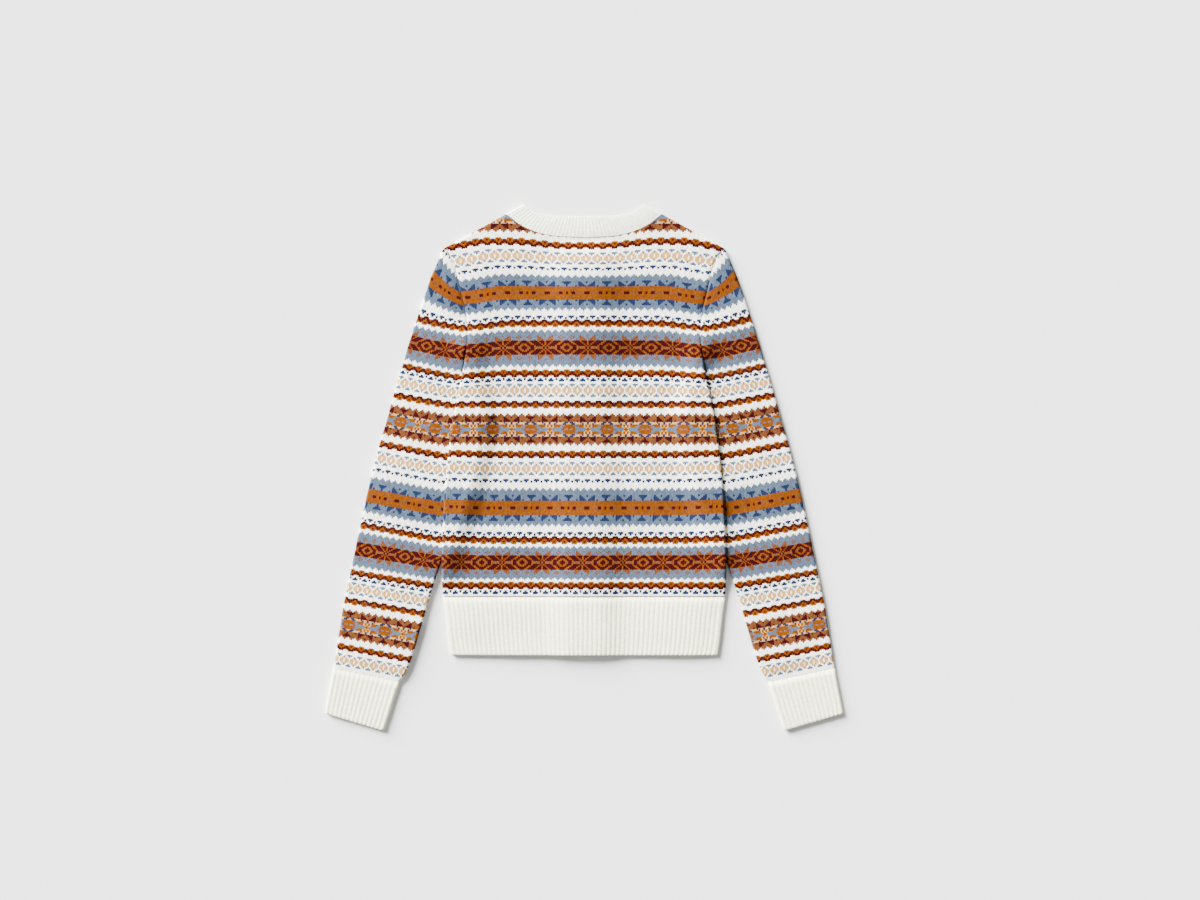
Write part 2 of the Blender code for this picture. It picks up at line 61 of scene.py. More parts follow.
# Plan of the right half, as (distance out, height), and how the layers lie on each other
garment = {
    "wall": 0.0022,              # cloth thickness
    "layers": 0.0058,            # front and back laid together
    "seamGap": 0.0003,
    "hemTop": -0.1610,
    "hemBottom": -0.2344,
    "bandWidth": 0.0300,
    "bandTop": 0.2540,
    "sleeveLift": 0.0064,        # the body's sides lie on the sleeves
    "liftBlend": 0.0300,
    "liftRise": (0.1950, 0.1400),
    "liftFade": (-0.1200, -0.1600),
    "riseBlend": 0.0400,         # the fronts rise over the bands and buttons
    "riseFade": (0.2560, 0.2880),
    "buttonHeight": 0.0022,
    "buttonEnds": (-0.2164, 0.2360),
    "seamReach": 0.0260,         # a sleeve is lifted as far as this beside the armhole
    "hemHalf": 0.1762,
    "neckHeight": 0.0270,
    "sideFold": [(0.1669, -0.2344), (0.1706, -0.2094), (0.1731, -0.1844), (0.1762, -0.1610),
                 (0.1775, -0.1156), (0.1744, -0.0406), (0.1700, 0.0094), (0.1656, 0.0469),
                 (0.1588, 0.0844), (0.1519, 0.1156), (0.1469, 0.1469)],
    "armhole": [(0.1469, 0.1469), (0.1450, 0.1694), (0.1481, 0.1969), (0.1538, 0.2206),
                (0.1600, 0.2469), (0.1675, 0.2656), (0.1763, 0.2731)],
    "backNeck": [(0.0975, 0.3165), (0.0750, 0.3006), (0.0438, 0.2903), (0.0000, 0.2871)],
    "backNeckEdge": [(0.0756, 0.3288), (0.0588, 0.3188), (0.0375, 0.3148), (0.0000, 0.3138)],
    "sleeveOuter": [(0.1763, 0.2731), (0.1835, 0.2555), (0.1925, 0.2344), (0.2045, 0.1995),
                    (0.2175, 0.1594), (0.2350, 0.1006), (0.2575, 0.0219), (0.2700, -0.0281),
                    (0.2888, -0.1156), (0.2994, -0.1656), (0.3070, -0.2120), (0.3118, -0.2430),
                    (0.3130, -0.2500)],
    "sleeveInner": [(0.1469, 0.1469), (0.1478, 0.1405), (0.1488, 0.1300), (0.1506, 0.1175),
                    (0.1410, 0.0960), (0.1320, 0.0660), (0.1420, -0.0060), (0.1560, -0.0560),
                    (0.1865, -0.1425), (0.2013, -0.1915), (0.2135, -0.2330), (0.2240, -0.2595),
                    (0.2300, -0.2672)],
    "cuffOuter": [(0.3131, -0.2503), (0.3241, -0.3069)],
    "cuffInner": [(0.2301, -0.2675), (0.2496, -0.3288)],
    "liftReach": [(0.1750, -0.1200), (0.1540, -0.0560), (0.1400, -0.0060), (0.1300, 0.0660),
                  (0.1370, 0.0960), (0.1440, 0.1175), (0.1430, 0.1469)],
}
frontEdge = garment["bandWidth"] / 2 + garment["seamGap"]
garment["frontNeck"] = [(0.0975, 0.3165), (0.0950, 0.2900), (0.0870, 0.2640), (0.0700, 0.2430),
                        (0.0450, 0.2310), (frontEdge, 0.2270)]
garment["frontNeckEdge"] = [(0.0756, 0.3288), (0.0720, 0.3000), (0.0660, 0.2800),
                            (0.0530, 0.2650), (0.0350, 0.2570), (frontEdge, 0.2540)]
foldTurn = garment["layers"] / 2
buttonholeBandRise = garment["buttonHeight"] + garment["seamGap"]
buttonBandRise = buttonholeBandRise + garment["wall"] + garment["seamGap"]
backRise = buttonBandRise + 2 * garment["wall"] + garment["seamGap"] - garment["layers"]


def smooth(t):
    t = np.clip(t, 0.0, 1.0)
    return t * t * (3.0 - 2.0 * t)


def roundedPath(places, steps=12):
    # the smooth curve through some places, as short straight pieces
    p = np.array(places, float)
    p = np.vstack([2 * p[0] - p[1], p, 2 * p[-1] - p[-2]])
    t = (np.arange(steps) / steps)[:, None]
    parts = []
    for a, b, c, d in zip(p, p[1:], p[2:], p[3:]):
        bend = 2 * a - 5 * b + 4 * c - d
        twist = 3 * b - a - 3 * c + d
        parts.append(0.5 * (2 * b + (c - a) * t + bend * t ** 2 + twist * t ** 3))
    return np.vstack(parts + [p[-2:-1]])


def alongPath(path, distances):
    gone = np.concatenate([[0.0], np.cumsum(np.hypot(*np.diff(path, axis=0).T))])
    return np.stack([np.interp(distances, gone, path[:, 0]), np.interp(distances, gone, path[:, 1])], -1)


def pathLength(path):
    return float(np.hypot(*np.diff(path, axis=0).T).sum())


def nearPath(points, path):
    # distance to a path, and the way from it towards its left side
    best = np.full(len(points), np.inf)
    way = np.zeros((len(points), 2))
    for a, b in zip(path[:-1], path[1:]):
        edge = b - a
        share = np.clip((points - a) @ edge / (edge @ edge), 0.0, 1.0)
        gap = np.hypot(*(points - a - share[:, None] * edge).T)
        closer = gap < best
        best[closer] = gap[closer]
        way[closer] = np.array([-edge[1], edge[0]]) / math.hypot(*edge)
    return best, way


sideFold = roundedPath(garment["sideFold"])
armhole = roundedPath(garment["armhole"])
tip = armhole[-1]                      # the shoulder's tip
foot = armhole[0]                      # the armhole's foot
neckPoint = np.array(garment["backNeck"][0])
shoulderFold = np.array([tip, neckPoint])
bodySide = np.vstack([sideFold, armhole[1:]])
backNeck = roundedPath(garment["backNeck"])
frontNeck = roundedPath(garment["frontNeck"])
sleeveOuter = roundedPath(garment["sleeveOuter"])
sleeveInner = roundedPath(garment["sleeveInner"])
bodyFolds = [sideFold, shoulderFold]
sleeveFolds = [sleeveOuter[::-1], sleeveInner]


def sideAt(y):
    return np.interp(y, bodySide[:, 1], bodySide[:, 0])


def sideLift(x, y):
    reach = np.array(garment["liftReach"])
    full = np.interp(y, reach[:, 1], reach[:, 0])
    blend = garment["liftBlend"]
    start, top = garment["liftRise"]
    fade, end = garment["liftFade"]
    out = smooth((np.abs(x) - full + blend) / blend)
    rise = smooth((start - y) / (start - top))
    return garment["sleeveLift"] * out * rise * smooth((y - end) / (fade - end))


def centreShare(x):
    return smooth(1.0 - (np.abs(x) - garment["bandWidth"] / 2) / garment["riseBlend"])


def backRaise(x, y):
    fade, end = garment["riseFade"]
    return sideLift(x, y) + backRise * centreShare(x) * smooth((end - y) / (end - fade))


def frontRaise(bandRise):
    return lambda x, y: sideLift(x, y) + bandRise * centreShare(x)


def rightHalf(x, y):
    # places in plan, the left half folded over onto the right
    return np.stack([np.abs(x), y], -1)


def seamLift(x, y):
    # a sleeve follows the lifted armhole and comes down beside it
    points = rightHalf(x, y)
    gap = np.full(len(points), np.inf)
    lift = np.zeros(len(points))
    for spot in armhole[::3]:
        away = np.hypot(*(points - spot).T)
        closer = away < gap
        gap[closer] = away[closer]
        lift[closer] = sideLift(spot[0], spot[1])
    return lift * smooth(1.0 - gap / garment["seamReach"])


def layPoints(plan, layer, folds, raised, start):
    # outer and inner points of a cloth layer over plan points, and the way its outside faces
    flat = plan.reshape(-1, 2)
    half = rightHalf(flat[:, 0], flat[:, 1])
    gap = np.full(len(half), np.inf)
    inward = np.zeros((len(half), 2))
    for fold in folds:
        found, way = nearPath(half, fold)
        closer = found < gap
        gap[closer] = found[closer]
        inward[closer] = way[closer]
    inward[:, 0] *= np.where(flat[:, 0] < 0, -1.0, 1.0)
    lean = 1.0 - np.minimum(gap / foldTurn, 1.0)
    turn = np.sqrt(np.maximum(1.0 - lean ** 2, 0.0))
    middle = foldTurn + raised(flat[:, 0], flat[:, 1])
    outer = np.column_stack([flat, middle + layer * (start + (foldTurn - start) * turn)])
    under = flat + inward * (garment["wall"] * lean)[:, None]
    inside = start + (foldTurn - start - garment["wall"]) * turn
    inner = np.column_stack([under, middle + layer * inside])
    way = np.column_stack([-inward * lean[:, None], layer * turn])
    shape = plan.shape[:-1] + (3,)
    return outer.reshape(shape), inner.reshape(shape), way.reshape(shape)


# Materials

def linearColour(hexCode):
    parts = [int(hexCode[i:i + 2], 16) / 255.0 for i in (1, 3, 5)]
    return tuple(p / 12.92 if p <= 0.04045 else ((p + 0.055) / 1.055) ** 2.4 for p in parts) + (1.0,)


def addNode(tree, kind, inputs=None, **settings):
    # adds a node; a value of inputs is a number, a colour or another node's output
    node = tree.nodes.new(kind)
    for key, value in settings.items():
        setattr(node, key, value)
    for key, value in (inputs or {}).items():
        if isinstance(value, bpy.types.NodeSocket):
            tree.links.new(value, node.inputs[key])
        else:
            node.inputs[key].default_value = value
    return node


def maths(tree, operation, *values):
    return addNode(tree, "ShaderNodeMath", dict(enumerate(values)), operation=operation).outputs[0]


def mapped(tree, value, low, high, fromLow=0.0, fromHigh=1.0):
    return addNode(tree, "ShaderNodeMapRange", {"Value": value, "From Min": fromLow, "From Max": fromHigh,
                                                "To Min": low, "To Max": high}).outputs[0]


def noise(tree, scale, detail, **inputs):
    place = addNode(tree, "ShaderNodeTexCoord").outputs["Object"]
    return addNode(tree, "ShaderNodeTexNoise",
                   {"Vector": place, "Scale": scale, "Detail": detail, **inputs}).outputs[0]


def plainColour(tree, code):
    output = addNode(tree, "ShaderNodeRGB").outputs[0]
    output.default_value = linearColour(code)
    return output


def tint(tree, shader, base, strength):
    tinted = addNode(tree, "ShaderNodeVectorMath", {0: base, "Scale": strength}, operation="SCALE")
    tree.links.new(tinted.outputs[0], shader.inputs["Base Color"])


def roughen(tree, shader, *reliefs):
    # bumps from heights and their depths in metres, the coarsest first
    normal = {}
    for height, depth in reliefs:
        inputs = {"Height": height, "Strength": 1.0, "Distance": depth, **normal}
        bump = addNode(tree, "ShaderNodeBump", inputs)
        normal = {"Normal": bump.outputs[0]}
    tree.links.new(bump.outputs[0], shader.inputs["Normal"])


def startMaterial(name, roughness, gloss, sheen=0.0, ior=1.5):
    made = bpy.data.materials.new(name)
    made.use_nodes = True
    shader = made.node_tree.nodes["Principled BSDF"]
    for label, value in (("Roughness", roughness), ("Metallic", 0.0), ("IOR", ior),
                         ("Specular IOR Level", gloss), ("Sheen Weight", sheen), ("Sheen Roughness", 0.5)):
        shader.inputs[label].default_value = value
    return made, made.node_tree, shader


knitLook = {
    # Painted shade and highlight: the gaps between legs are coloured darker and the ridges lighter, where
    # shade and light fall on the stitches
    "grooveShade": 0.30,         # how much darker the gaps between legs are
    "ridgeShade": 0.3,           # and the ridges lighter, as a share of that
    "legDepth": 0.00038,         # bump between two legs of a stitch, in metres
    "fuzzSize": 0.0006,          # stray wool fibres, drawn coarser than real ones
    "fuzzDepth": 0.00012,
    "heatherSize": 0.0035,       # patches of lighter and darker wool along a yarn
    "heatherShade": 0.13,
}


def stitchRelief(tree):
    # height of a stitch's legs, 0 in the gaps and 1 on the ridges, from a map in legs and courses
    uv = addNode(tree, "ShaderNodeUVMap", uv_map="knit")
    parts = addNode(tree, "ShaderNodeSeparateXYZ", {0: uv.outputs["UV"]})
    across, along = parts.outputs["X"], parts.outputs["Y"]
    ridges = [maths(tree, "SINE", maths(tree, "MULTIPLY", maths(tree, "FRACT", way), math.pi))
              for way in (across, along)]
    leg = maths(tree, "POWER", ridges[0], 0.6)
    loop = maths(tree, "MULTIPLY_ADD", ridges[1], 0.45, 0.55)
    # the two plies of the yarn cross each leg at a slant
    slant = maths(tree, "MULTIPLY_ADD", across, 0.7, along)
    twist = maths(tree, "SINE", maths(tree, "MULTIPLY", slant, 4 * math.pi))
    return maths(tree, "MULTIPLY_ADD", twist, 0.07, maths(tree, "MULTIPLY", leg, loop))


def woolMaterial(name, colour=None):
    # Wool, knitted: matt, as its fibres scatter the shine, with rounded legs and stray fibres
    made, tree, shader = startMaterial(name, 0.92, 0.03, 0.015)
    if colour:
        base = plainColour(tree, colour)
    else:
        base = addNode(tree, "ShaderNodeAttribute", attribute_name="yarn").outputs["Color"]
    relief = stitchRelief(tree)
    heather = noise(tree, 1.0 / knitLook["heatherSize"], 3.0, Roughness=0.6)
    fuzz = noise(tree, 1.0 / knitLook["fuzzSize"], 4.0, Roughness=0.7, Distortion=1.5)
    groove, patch = knitLook["grooveShade"], knitLook["heatherShade"]
    # painted shade in the gaps between legs and painted highlight on the ridges, multiplied into the yarn
    # colour
    shade = mapped(tree, relief, 1.0 - groove, 1.0 + knitLook["ridgeShade"] * groove)
    mottle = mapped(tree, heather, 1.0 - patch, 1.0 + patch, 0.3, 0.7)
    tint(tree, shader, base, maths(tree, "MULTIPLY", shade, mottle))
    roughen(tree, shader, (relief, knitLook["legDepth"]), (fuzz, knitLook["fuzzDepth"]))
    return made


jacquardWool = woolMaterial("knitted_jacquard_wool")
ribWool = woolMaterial("knitted_ivory_rib_wool", "#FBFAD8")
neckWool = woolMaterial("knitted_white_neckband_wool", "#FDFDEA")


def resinMaterial():
    # Cast polyester resin, tumbled: pale, softly glossy, with a faint horn-like drift of tone
    made, tree, shader = startMaterial("cast_button_resin", 0.28, 0.5, ior=1.54)
    tones = addNode(tree, "ShaderNodeValToRGB", {"Fac": noise(tree, 160.0, 3.0, Distortion=2.0)})
    for element, place, colour in zip(tones.color_ramp.elements, (0.3, 0.7), ("#CFC6B0", "#E6E0D0")):
        element.position = place
        element.color = linearColour(colour)
    tree.links.new(tones.outputs[0], shader.inputs["Base Color"])
    roughen(tree, shader, (noise(tree, 1200.0, 2.0), 0.00002))
    return made


def threadMaterial(name, colour):
    # Mercerised sewing thread: two plies, a little shinier than the wool
    made, tree, shader = startMaterial(name, 0.6, 0.1, 0.05)
    strands = noise(tree, 1500.0, 2.0)
    tint(tree, shader, plainColour(tree, colour), mapped(tree, strands, 0.85, 1.05))
    roughen(tree, shader, (strands, 0.0001))
    return made


buttonResin = resinMaterial()
sewingThread = threadMaterial("ivory_sewing_thread", "#DED9CC")
# The linking thread is real, but its mid grey is painted shade: it stands for the dark shaded line under the
# neckband's edge
shadeGreyLinkingThread = threadMaterial("linking_thread_painted_shade_grey", "#8A847C")
print("materials made")

# Charts of the traditional bands, worked from the centre of each motif out to its edge.
# Top course first; w white, o ochre, m maroon, t tan, g grey-blue, n navy, s sand.
yarnColours = {
    "w": "#F2F1E6", "o": "#683400", "m": "#2C0306", "t": "#5C3419",
    "g": "#465262", "n": "#16213A", "s": "#B3874E",
}
yarnGlow = {"w": 1.4, "s": 0.85, "g": 0.6, "t": 0.22, "o": 0.28, "n": 0.0, "m": 0.0}
blossomChain = ["ooww", "moom", "oomm", "ommo", "mmww"]
buds = ["wwnn", "nwwn"]
lozenges = ["wwgg", "gwwg", "ssww", "wssw", "wssw", "wssw", "ssww", "gwwg", "wwgg"]
mtRows = ["011110100001", "001110000001", "000110000011", "100010000111"]
starRows = ["0111101000001", "0011100001000", "0001100010100", "1000100001000"]
ochreHeart = ["mmtttttmmoom", "oooooottoooo", "toooooootooo", "tootoooottoo", "toootooootto"]
medallionHeart = ["oogggggooggo", "osggggggoooo", "sosoooggoooo", "sosooooggooo",
                  "nssnssssnnss", "nsssnssssnns"]
starHeart = ["tmtttttmmttmm", "mommmmommmoom", "omommmmoommoo", "ommommmmoommm", "ommmommmmoomm"]


def bordered(rows, ground, mark):
    return ["".join(mark if dot == "1" else ground for dot in row) for row in rows]


def zigzag(yarn):
    # pointed edge of a band: three stitches in four, then every fourth
    return ["w" + yarn * 2, "ww" + yarn]


def mirroredUp(rowsFromMiddle):
    return rowsFromMiddle[:0:-1] + rowsFromMiddle


ochreHalf = ochreHeart + bordered(mtRows, "g", "n") + ["gg", "gg"]
ochreBand = (ochreHalf + ["gg"] + zigzag("g"))[::-1] + ochreHalf + zigzag("g")
medallionBand = mirroredUp(medallionHeart + bordered(mtRows, "t", "m") + zigzag("t"))
starHalf = starHeart + bordered(starRows, "g", "t") + ["gg", "gg"]
starBand = (starHalf + zigzag("g"))[::-1] + starHalf + ["gg"] + zigzag("g")

# Bands up from the hem: first course, chart, and whether the motif's edge is at the centre
bandOrder = [
    (2, buds[::-1], False), (5, blossomChain, False), (12, starBand, False),
    (41, blossomChain[::-1], False), (47, buds, False), (53, ochreBand, False),
    (84, buds, True), (89, lozenges, False), (101, blossomChain, True),
    (110, medallionBand, False), (137, blossomChain[::-1], False), (145, lozenges, False),
    (156, buds[::-1], False),
]
repeatCourses = 154              # the order of bands starts again after this many


def yarnTable(firstCourse, lastCourse, reach):
    # yarn letters by course and stitch, for stitches -reach to reach from the motif's centre
    table = np.full((lastCourse - firstCourse, 2 * reach + 1), "w")
    stitches = np.abs(np.arange(-reach, reach + 1))
    for turn in range(-1, 3):
        for start, chart, atEdge in bandOrder:
            for up, row in enumerate(chart[::-1]):
                course = start + up + turn * repeatCourses - firstCourse
                if 0 <= course < len(table):
                    period = 2 * (len(row) - 1)
                    k = (stitches + (period // 2 if atEdge else 0)) % period
                    k = np.minimum(k, period - k)
                    table[course] = np.array(list(row))[k]
    return table


# Where the courses and wales of the body lie
bodyKnit = {
    "courses": 292,
    "halfStitches": 174,         # on each side of the middle
    "frontStart": 8,             # the fronts' first half stitch
    "veeShare": 0.55,            # how far the legs of a stitch slope, in courses
    # course, height, stitch width, middle wale's place, rise over the shoulders, fall at the armholes
    "table": [
        (0, -0.1619, 0.00208, -0.0045, 0.0, 0.0), (5, -0.1519, 0.00208, -0.0041, 0.0, 0.0),
        (10, -0.1431, 0.00208, -0.0035, 0.0, 0.0), (20.5, -0.1286, 0.00209, -0.0024, 0.0, -0.0011),
        (30.5, -0.1109, 0.00210, -0.0011, 0.0, -0.0016), (41, -0.0956, 0.00210, 0.0006, 0.0, -0.0019),
        (43.5, -0.0910, 0.00210, 0.0010, 0.0, -0.0020), (66.5, -0.0500, 0.00210, 0.0038, 0.0, -0.0020),
        (85, -0.0170, 0.00212, 0.0044, 0.0, -0.0018), (103.5, 0.0160, 0.00214, 0.0048, 0.0, -0.0015),
        (121.5, 0.0471, 0.00216, 0.0050, 0.0, 0.0), (139.5, 0.0779, 0.00218, 0.0050, 0.0, 0.0),
        (161.5, 0.1171, 0.00219, 0.0050, 0.0, 0.0035), (179.5, 0.1482, 0.00220, 0.0050, 0.0, 0.0042),
        (197.5, 0.1793, 0.00222, 0.0042, 0.0, 0.0050), (220.5, 0.2181, 0.00225, 0.0038, 0.0004, 0.0062),
        (239, 0.2469, 0.00230, 0.0031, 0.0028, 0.0072), (247.5, 0.2598, 0.00237, 0.0025, 0.0040, 0.0074),
        (257.5, 0.2764, 0.00241, 0.0021, 0.0054, 0.0076), (264, 0.2870, 0.00243, 0.0020, 0.0068, 0.0078),
        (292, 0.3300, 0.00246, 0.0020, 0.0090, 0.0080),
    ],
    "riseStart": 0.019,
    "riseReach": 0.075,
    "fallReach": 0.056,
    "bloom": 0.00066,            # how far a dark stitch spreads over a white one
    "bloomMost": (0.80, 0.45),   # at most, as shares of a stitch and of a course
    "leastStep": 0.0005,
    "snapShare": 0.2,            # a corner as near the outline as this is drawn to it
    "shadeSpread": 0.15,         # lighter and darker stitches of one yarn
    "hueSpread": 0.03,
    "mapBox": (-0.18, -0.165, 0.36, 0.49),       # the flat map's corner, width and height
    "bakeShare": 0.84,           # share of the flat map's width for the outside
    "insideStep": 0.012,
    "insideLeg": 0.00105,        # the stitches drawn on the plain inner side
    "insideCourse": 0.00170,
    "waviness": 0.0005,          # soft unevenness of the laid cloth
    "swells": 7,
    "swellLengths": (0.05, 0.16),
    "calmReach": 0.020,          # it dies out towards the edges
    "seamDip": 0.0011,           # the cloth turns down to the armhole seams
    "seamReach": 0.0042,
    "crown": 0.0010,             # the back is a little fuller inside its edges
    "crownReach": 0.034,
}
bodyTable = np.array(bodyKnit["table"]).T


def bodyPlan(columns, centred):
    # plan of every grid point: courses by half stitches; the legs' sides stand higher than their middle
    rows = np.arange(bodyKnit["courses"] + 1)[:, None]
    course = rows + np.where(columns % 2, bodyKnit["veeShare"], 0.0)[None, :]
    course[0] = 0.0
    height, width, middle, hump, fall = (np.interp(course, bodyTable[0], column) for column in bodyTable[1:])
    x = (middle if centred else 0.0) + columns[None, :] / 2.0 * width
    out = np.abs(x)
    over = smooth((out - bodyKnit["riseStart"]) / bodyKnit["riseReach"])
    side = np.minimum(sideAt(height), tip[0])
    drop = smooth((out - side + bodyKnit["fallReach"]) / bodyKnit["fallReach"])
    y = height + hump * over - fall * drop
    y[0] = garment["hemTop"]
    return x, y


def blooming(x, y, letters, stitch):
    # dark stitches spread a little over the lighter ones beside them
    glow = np.vectorize(yarnGlow.get)(letters)[: x.shape[0] - 1][:, stitch]
    low, high, left, right = (np.zeros(x.shape) for _ in range(4))
    cells = 0.5 * (glow[:, 1:] + glow[:, :-1])
    low[1:, 1:-1], high[:-1, 1:-1] = cells, cells
    high[-1], low[0] = low[-1], high[0]
    pairs = 0.5 * (glow[1:] + glow[:-1])
    left[1:-1, 1:], right[1:-1, :-1] = pairs, pairs
    right[:, -1], left[:, 0] = left[:, -1], right[:, 0]
    size = bodyKnit["bloom"]
    for shift, axis, most in zip((right - left, high - low), (1, 0), bodyKnit["bloomMost"]):
        dx, dy = np.gradient(x, axis=axis), np.gradient(y, axis=axis)
        length = np.maximum(np.hypot(dx, dy), bodyKnit["leastStep"])
        amount = np.clip(size * shift, -most * length, most * length)
        x = x + amount * dx / length
        y = y + amount * dy / length
    return x, y


class Grid:
    # a knitted piece's grid; what lies outside its outline is drawn in to one point on it
    def __init__(self, x, y):
        self.x, self.y = x, y
        self.ids = np.arange(x.size).reshape(x.shape)

    def moveTo(self, cells, place, name):
        self.x[cells], self.y[cells] = place
        self.ids[cells] = name

    def trim(self, line, gaps, place):
        # line: cells from the inside outwards; gaps: how far each is outside
        outside = gaps > 0
        if not outside.any():
            return
        first = int(outside.argmax())
        here, there = line[max(first - 1, 0)], line[first]
        share = -gaps[first - 1] / (gaps[first] - gaps[first - 1]) if first else 0.0
        if first and share < bodyKnit["snapShare"]:
            first -= 1
        spot = place(self.x[here] + share * (self.x[there] - self.x[here]),
                     self.y[here] + share * (self.y[there] - self.y[here]))
        name = self.ids[line[first]]
        for cell in line[first:]:
            self.moveTo(cell, spot, name)

    def placesOf(self, cells):
        return np.array([self.x[cell] for cell in cells]), np.array([self.y[cell] for cell in cells])


def gridFaces(ids, upward=True):
    # corners of each face that is left, with the grid cell and the grid place of each corner
    a, b, c, d = ids[:-1, :-1], ids[:-1, 1:], ids[1:, 1:], ids[1:, :-1]
    rows, columns = np.indices(a.shape)
    corners = np.stack([a, b, c, d], -1).reshape(-1, 4)
    cells = np.stack([rows, columns], -1).reshape(-1, 2)
    offsets = np.array([(0, 0), (0, 1), (1, 1), (1, 0)])
    faces, places, homes = [], [], []
    same = corners == np.roll(corners, -1, axis=1)
    for corner, cell, twin in zip(corners, cells, same):
        kept = [k for k in range(4) if not twin[k]]
        if len(kept) < 3 or len(set(corner[kept])) < len(kept):
            continue
        if not upward:
            kept = kept[::-1]
        faces.append([int(corner[k]) for k in kept])
        places.append([cell + offsets[k] for k in kept])
        homes.append(cell)
    return faces, places, homes


def placed(name, data):
    piece = bpy.data.objects.new(name, data)
    bpy.context.scene.collection.objects.link(piece)
    return piece


def yarnShades(letters, seed):
    # linear colour of each face, each stitch a little lighter or darker than the next
    chance = np.random.default_rng(seed)
    palette = {letter: np.array(linearColour(code)) for letter, code in yarnColours.items()}
    base = np.array([palette[letter] for letter in letters])
    base[:, :3] *= chance.normal(1.0, bodyKnit["shadeSpread"], (len(letters), 1)).clip(0.7, 1.3)
    base[:, :3] *= chance.normal(1.0, bodyKnit["hueSpread"], (len(letters), 3)).clip(0.9, 1.1)
    return base


def knitPiece(name, points, faces, knitPlaces, flatPlaces, letters, seed):
    # a mesh from points by id, with its wale and course map, its flat map and its yarn colours
    used = np.unique(np.concatenate([np.array(face) for face in faces]))
    index = np.full(int(used.max()) + 1, -1)
    index[used] = np.arange(len(used))
    mesh = bpy.data.meshes.new(name)
    mesh.from_pydata(points[used].tolist(), [], [[int(index[v]) for v in face] for face in faces])
    for mapName, places in (("knit", knitPlaces), ("OFBake", flatPlaces)):
        layer = mesh.uv_layers.new(name=mapName)
        layer.uv.foreach_set("vector", np.array(places, np.float32).ravel())
    colours = np.repeat(yarnShades(letters, seed), [len(face) for face in faces], axis=0)
    yarn = mesh.color_attributes.new("yarn", "FLOAT_COLOR", "CORNER")
    yarn.data.foreach_set("color", np.array(colours, np.float32).ravel())
    mesh.shade_smooth()
    mesh.materials.append(jacquardWool)
    piece = placed(name, mesh)
    mesh.validate()
    return piece


def waves(x, y, seed, size):
    # a slow, fixed unevenness from a few crossing swells
    chance = random.Random(seed)
    total = np.zeros_like(x)
    for _ in range(bodyKnit["swells"]):
        way = chance.uniform(0, math.tau)
        length = chance.uniform(*bodyKnit["swellLengths"])
        phase = chance.uniform(0, math.tau)
        total += np.sin(math.tau * (x * math.cos(way) + y * math.sin(way)) / length + phase)
    return size * total / bodyKnit["swells"] ** 0.5


def enclosed(points, starts, ends):
    # whether each point lies inside an outline, by how often a line to its right crosses it
    inside = np.zeros(len(points), bool)
    for a, b in zip(starts, ends):
        if a[1] != b[1]:
            crossed = (points[:, 1] >= a[1]) != (points[:, 1] >= b[1])
            meeting = a[0] + (points[:, 1] - a[1]) / (b[1] - a[1]) * (b[0] - a[0])
            inside ^= crossed & (points[:, 0] < meeting)
    return inside


def closeInside(points, faces, innerOf, facesUp):
    # the plain inner side of a panel, joined to its edges all round
    directed = {(face[k - 1], face[k]) for face in faces for k in range(len(face))}
    rims = [edge for edge in directed if edge[::-1] not in directed]
    rimPoints = sorted({v for edge in rims for v in edge})
    order = {v: k for k, v in enumerate(rimPoints)}
    rim = innerOf(points[rimPoints, :2])
    step = bodyKnit["insideStep"]
    low, high = rim[:, :2].min(0), rim[:, :2].max(0)
    spots = np.stack(np.meshgrid(*(np.arange(a, b, step) for a, b in zip(low, high))), -1).reshape(-1, 2)
    away = np.hypot(*(spots[:, None] - rim[None, :, :2]).transpose(2, 0, 1)).min(1)
    spots = spots[away > 0.6 * step]
    inner = np.vstack([rim, innerOf(spots)])
    found = delaunay_2d_cdt([Vector(v) for v in np.vstack([rim[:, :2], spots])],
                            [(order[a], order[b]) for a, b in rims], [], 1, 1e-7, True)
    inputs = [ids[0] if ids else 0 for ids in found[3]]
    same = {one: ids[0] for ids in found[3] for one in ids}
    first = len(points)
    walls = [[b, a, first + same[order[a]], first + same[order[b]]] for a, b in rims]
    walls = [[v for k, v in enumerate(face) if v != face[k - 1]] for face in walls]
    middles = np.array([np.mean([found[0][v][:] for v in face], axis=0) for face in found[2]])
    kept = enclosed(middles, rim[[order[a] for a, b in rims], :2], rim[[order[b] for a, b in rims], :2])
    edges = [(same[order[a]], same[order[b]]) for a, b in rims]
    sides = {edge[::-1]: not facesUp for edge in edges} | {edge: facesUp for edge in edges}
    plain = []
    for face, keep in zip(found[2], kept):
        face = [inputs[v] for v in face]
        known = [sides[face[k - 1], face[k]] for k in range(3) if (face[k - 1], face[k]) in sides]
        if known[0] if known else keep:
            plain.append([first + v for v in (face[::-1] if facesUp else face)])
    return np.vstack([points, inner]), faces + walls + plain, len(walls) + len(plain)


def seamDip(x, y):
    gap = nearPath(rightHalf(x, y), armhole)[0]
    return bodyKnit["seamDip"] * (1.0 - np.clip(gap / bodyKnit["seamReach"], 0.0, 1.0)) ** 2


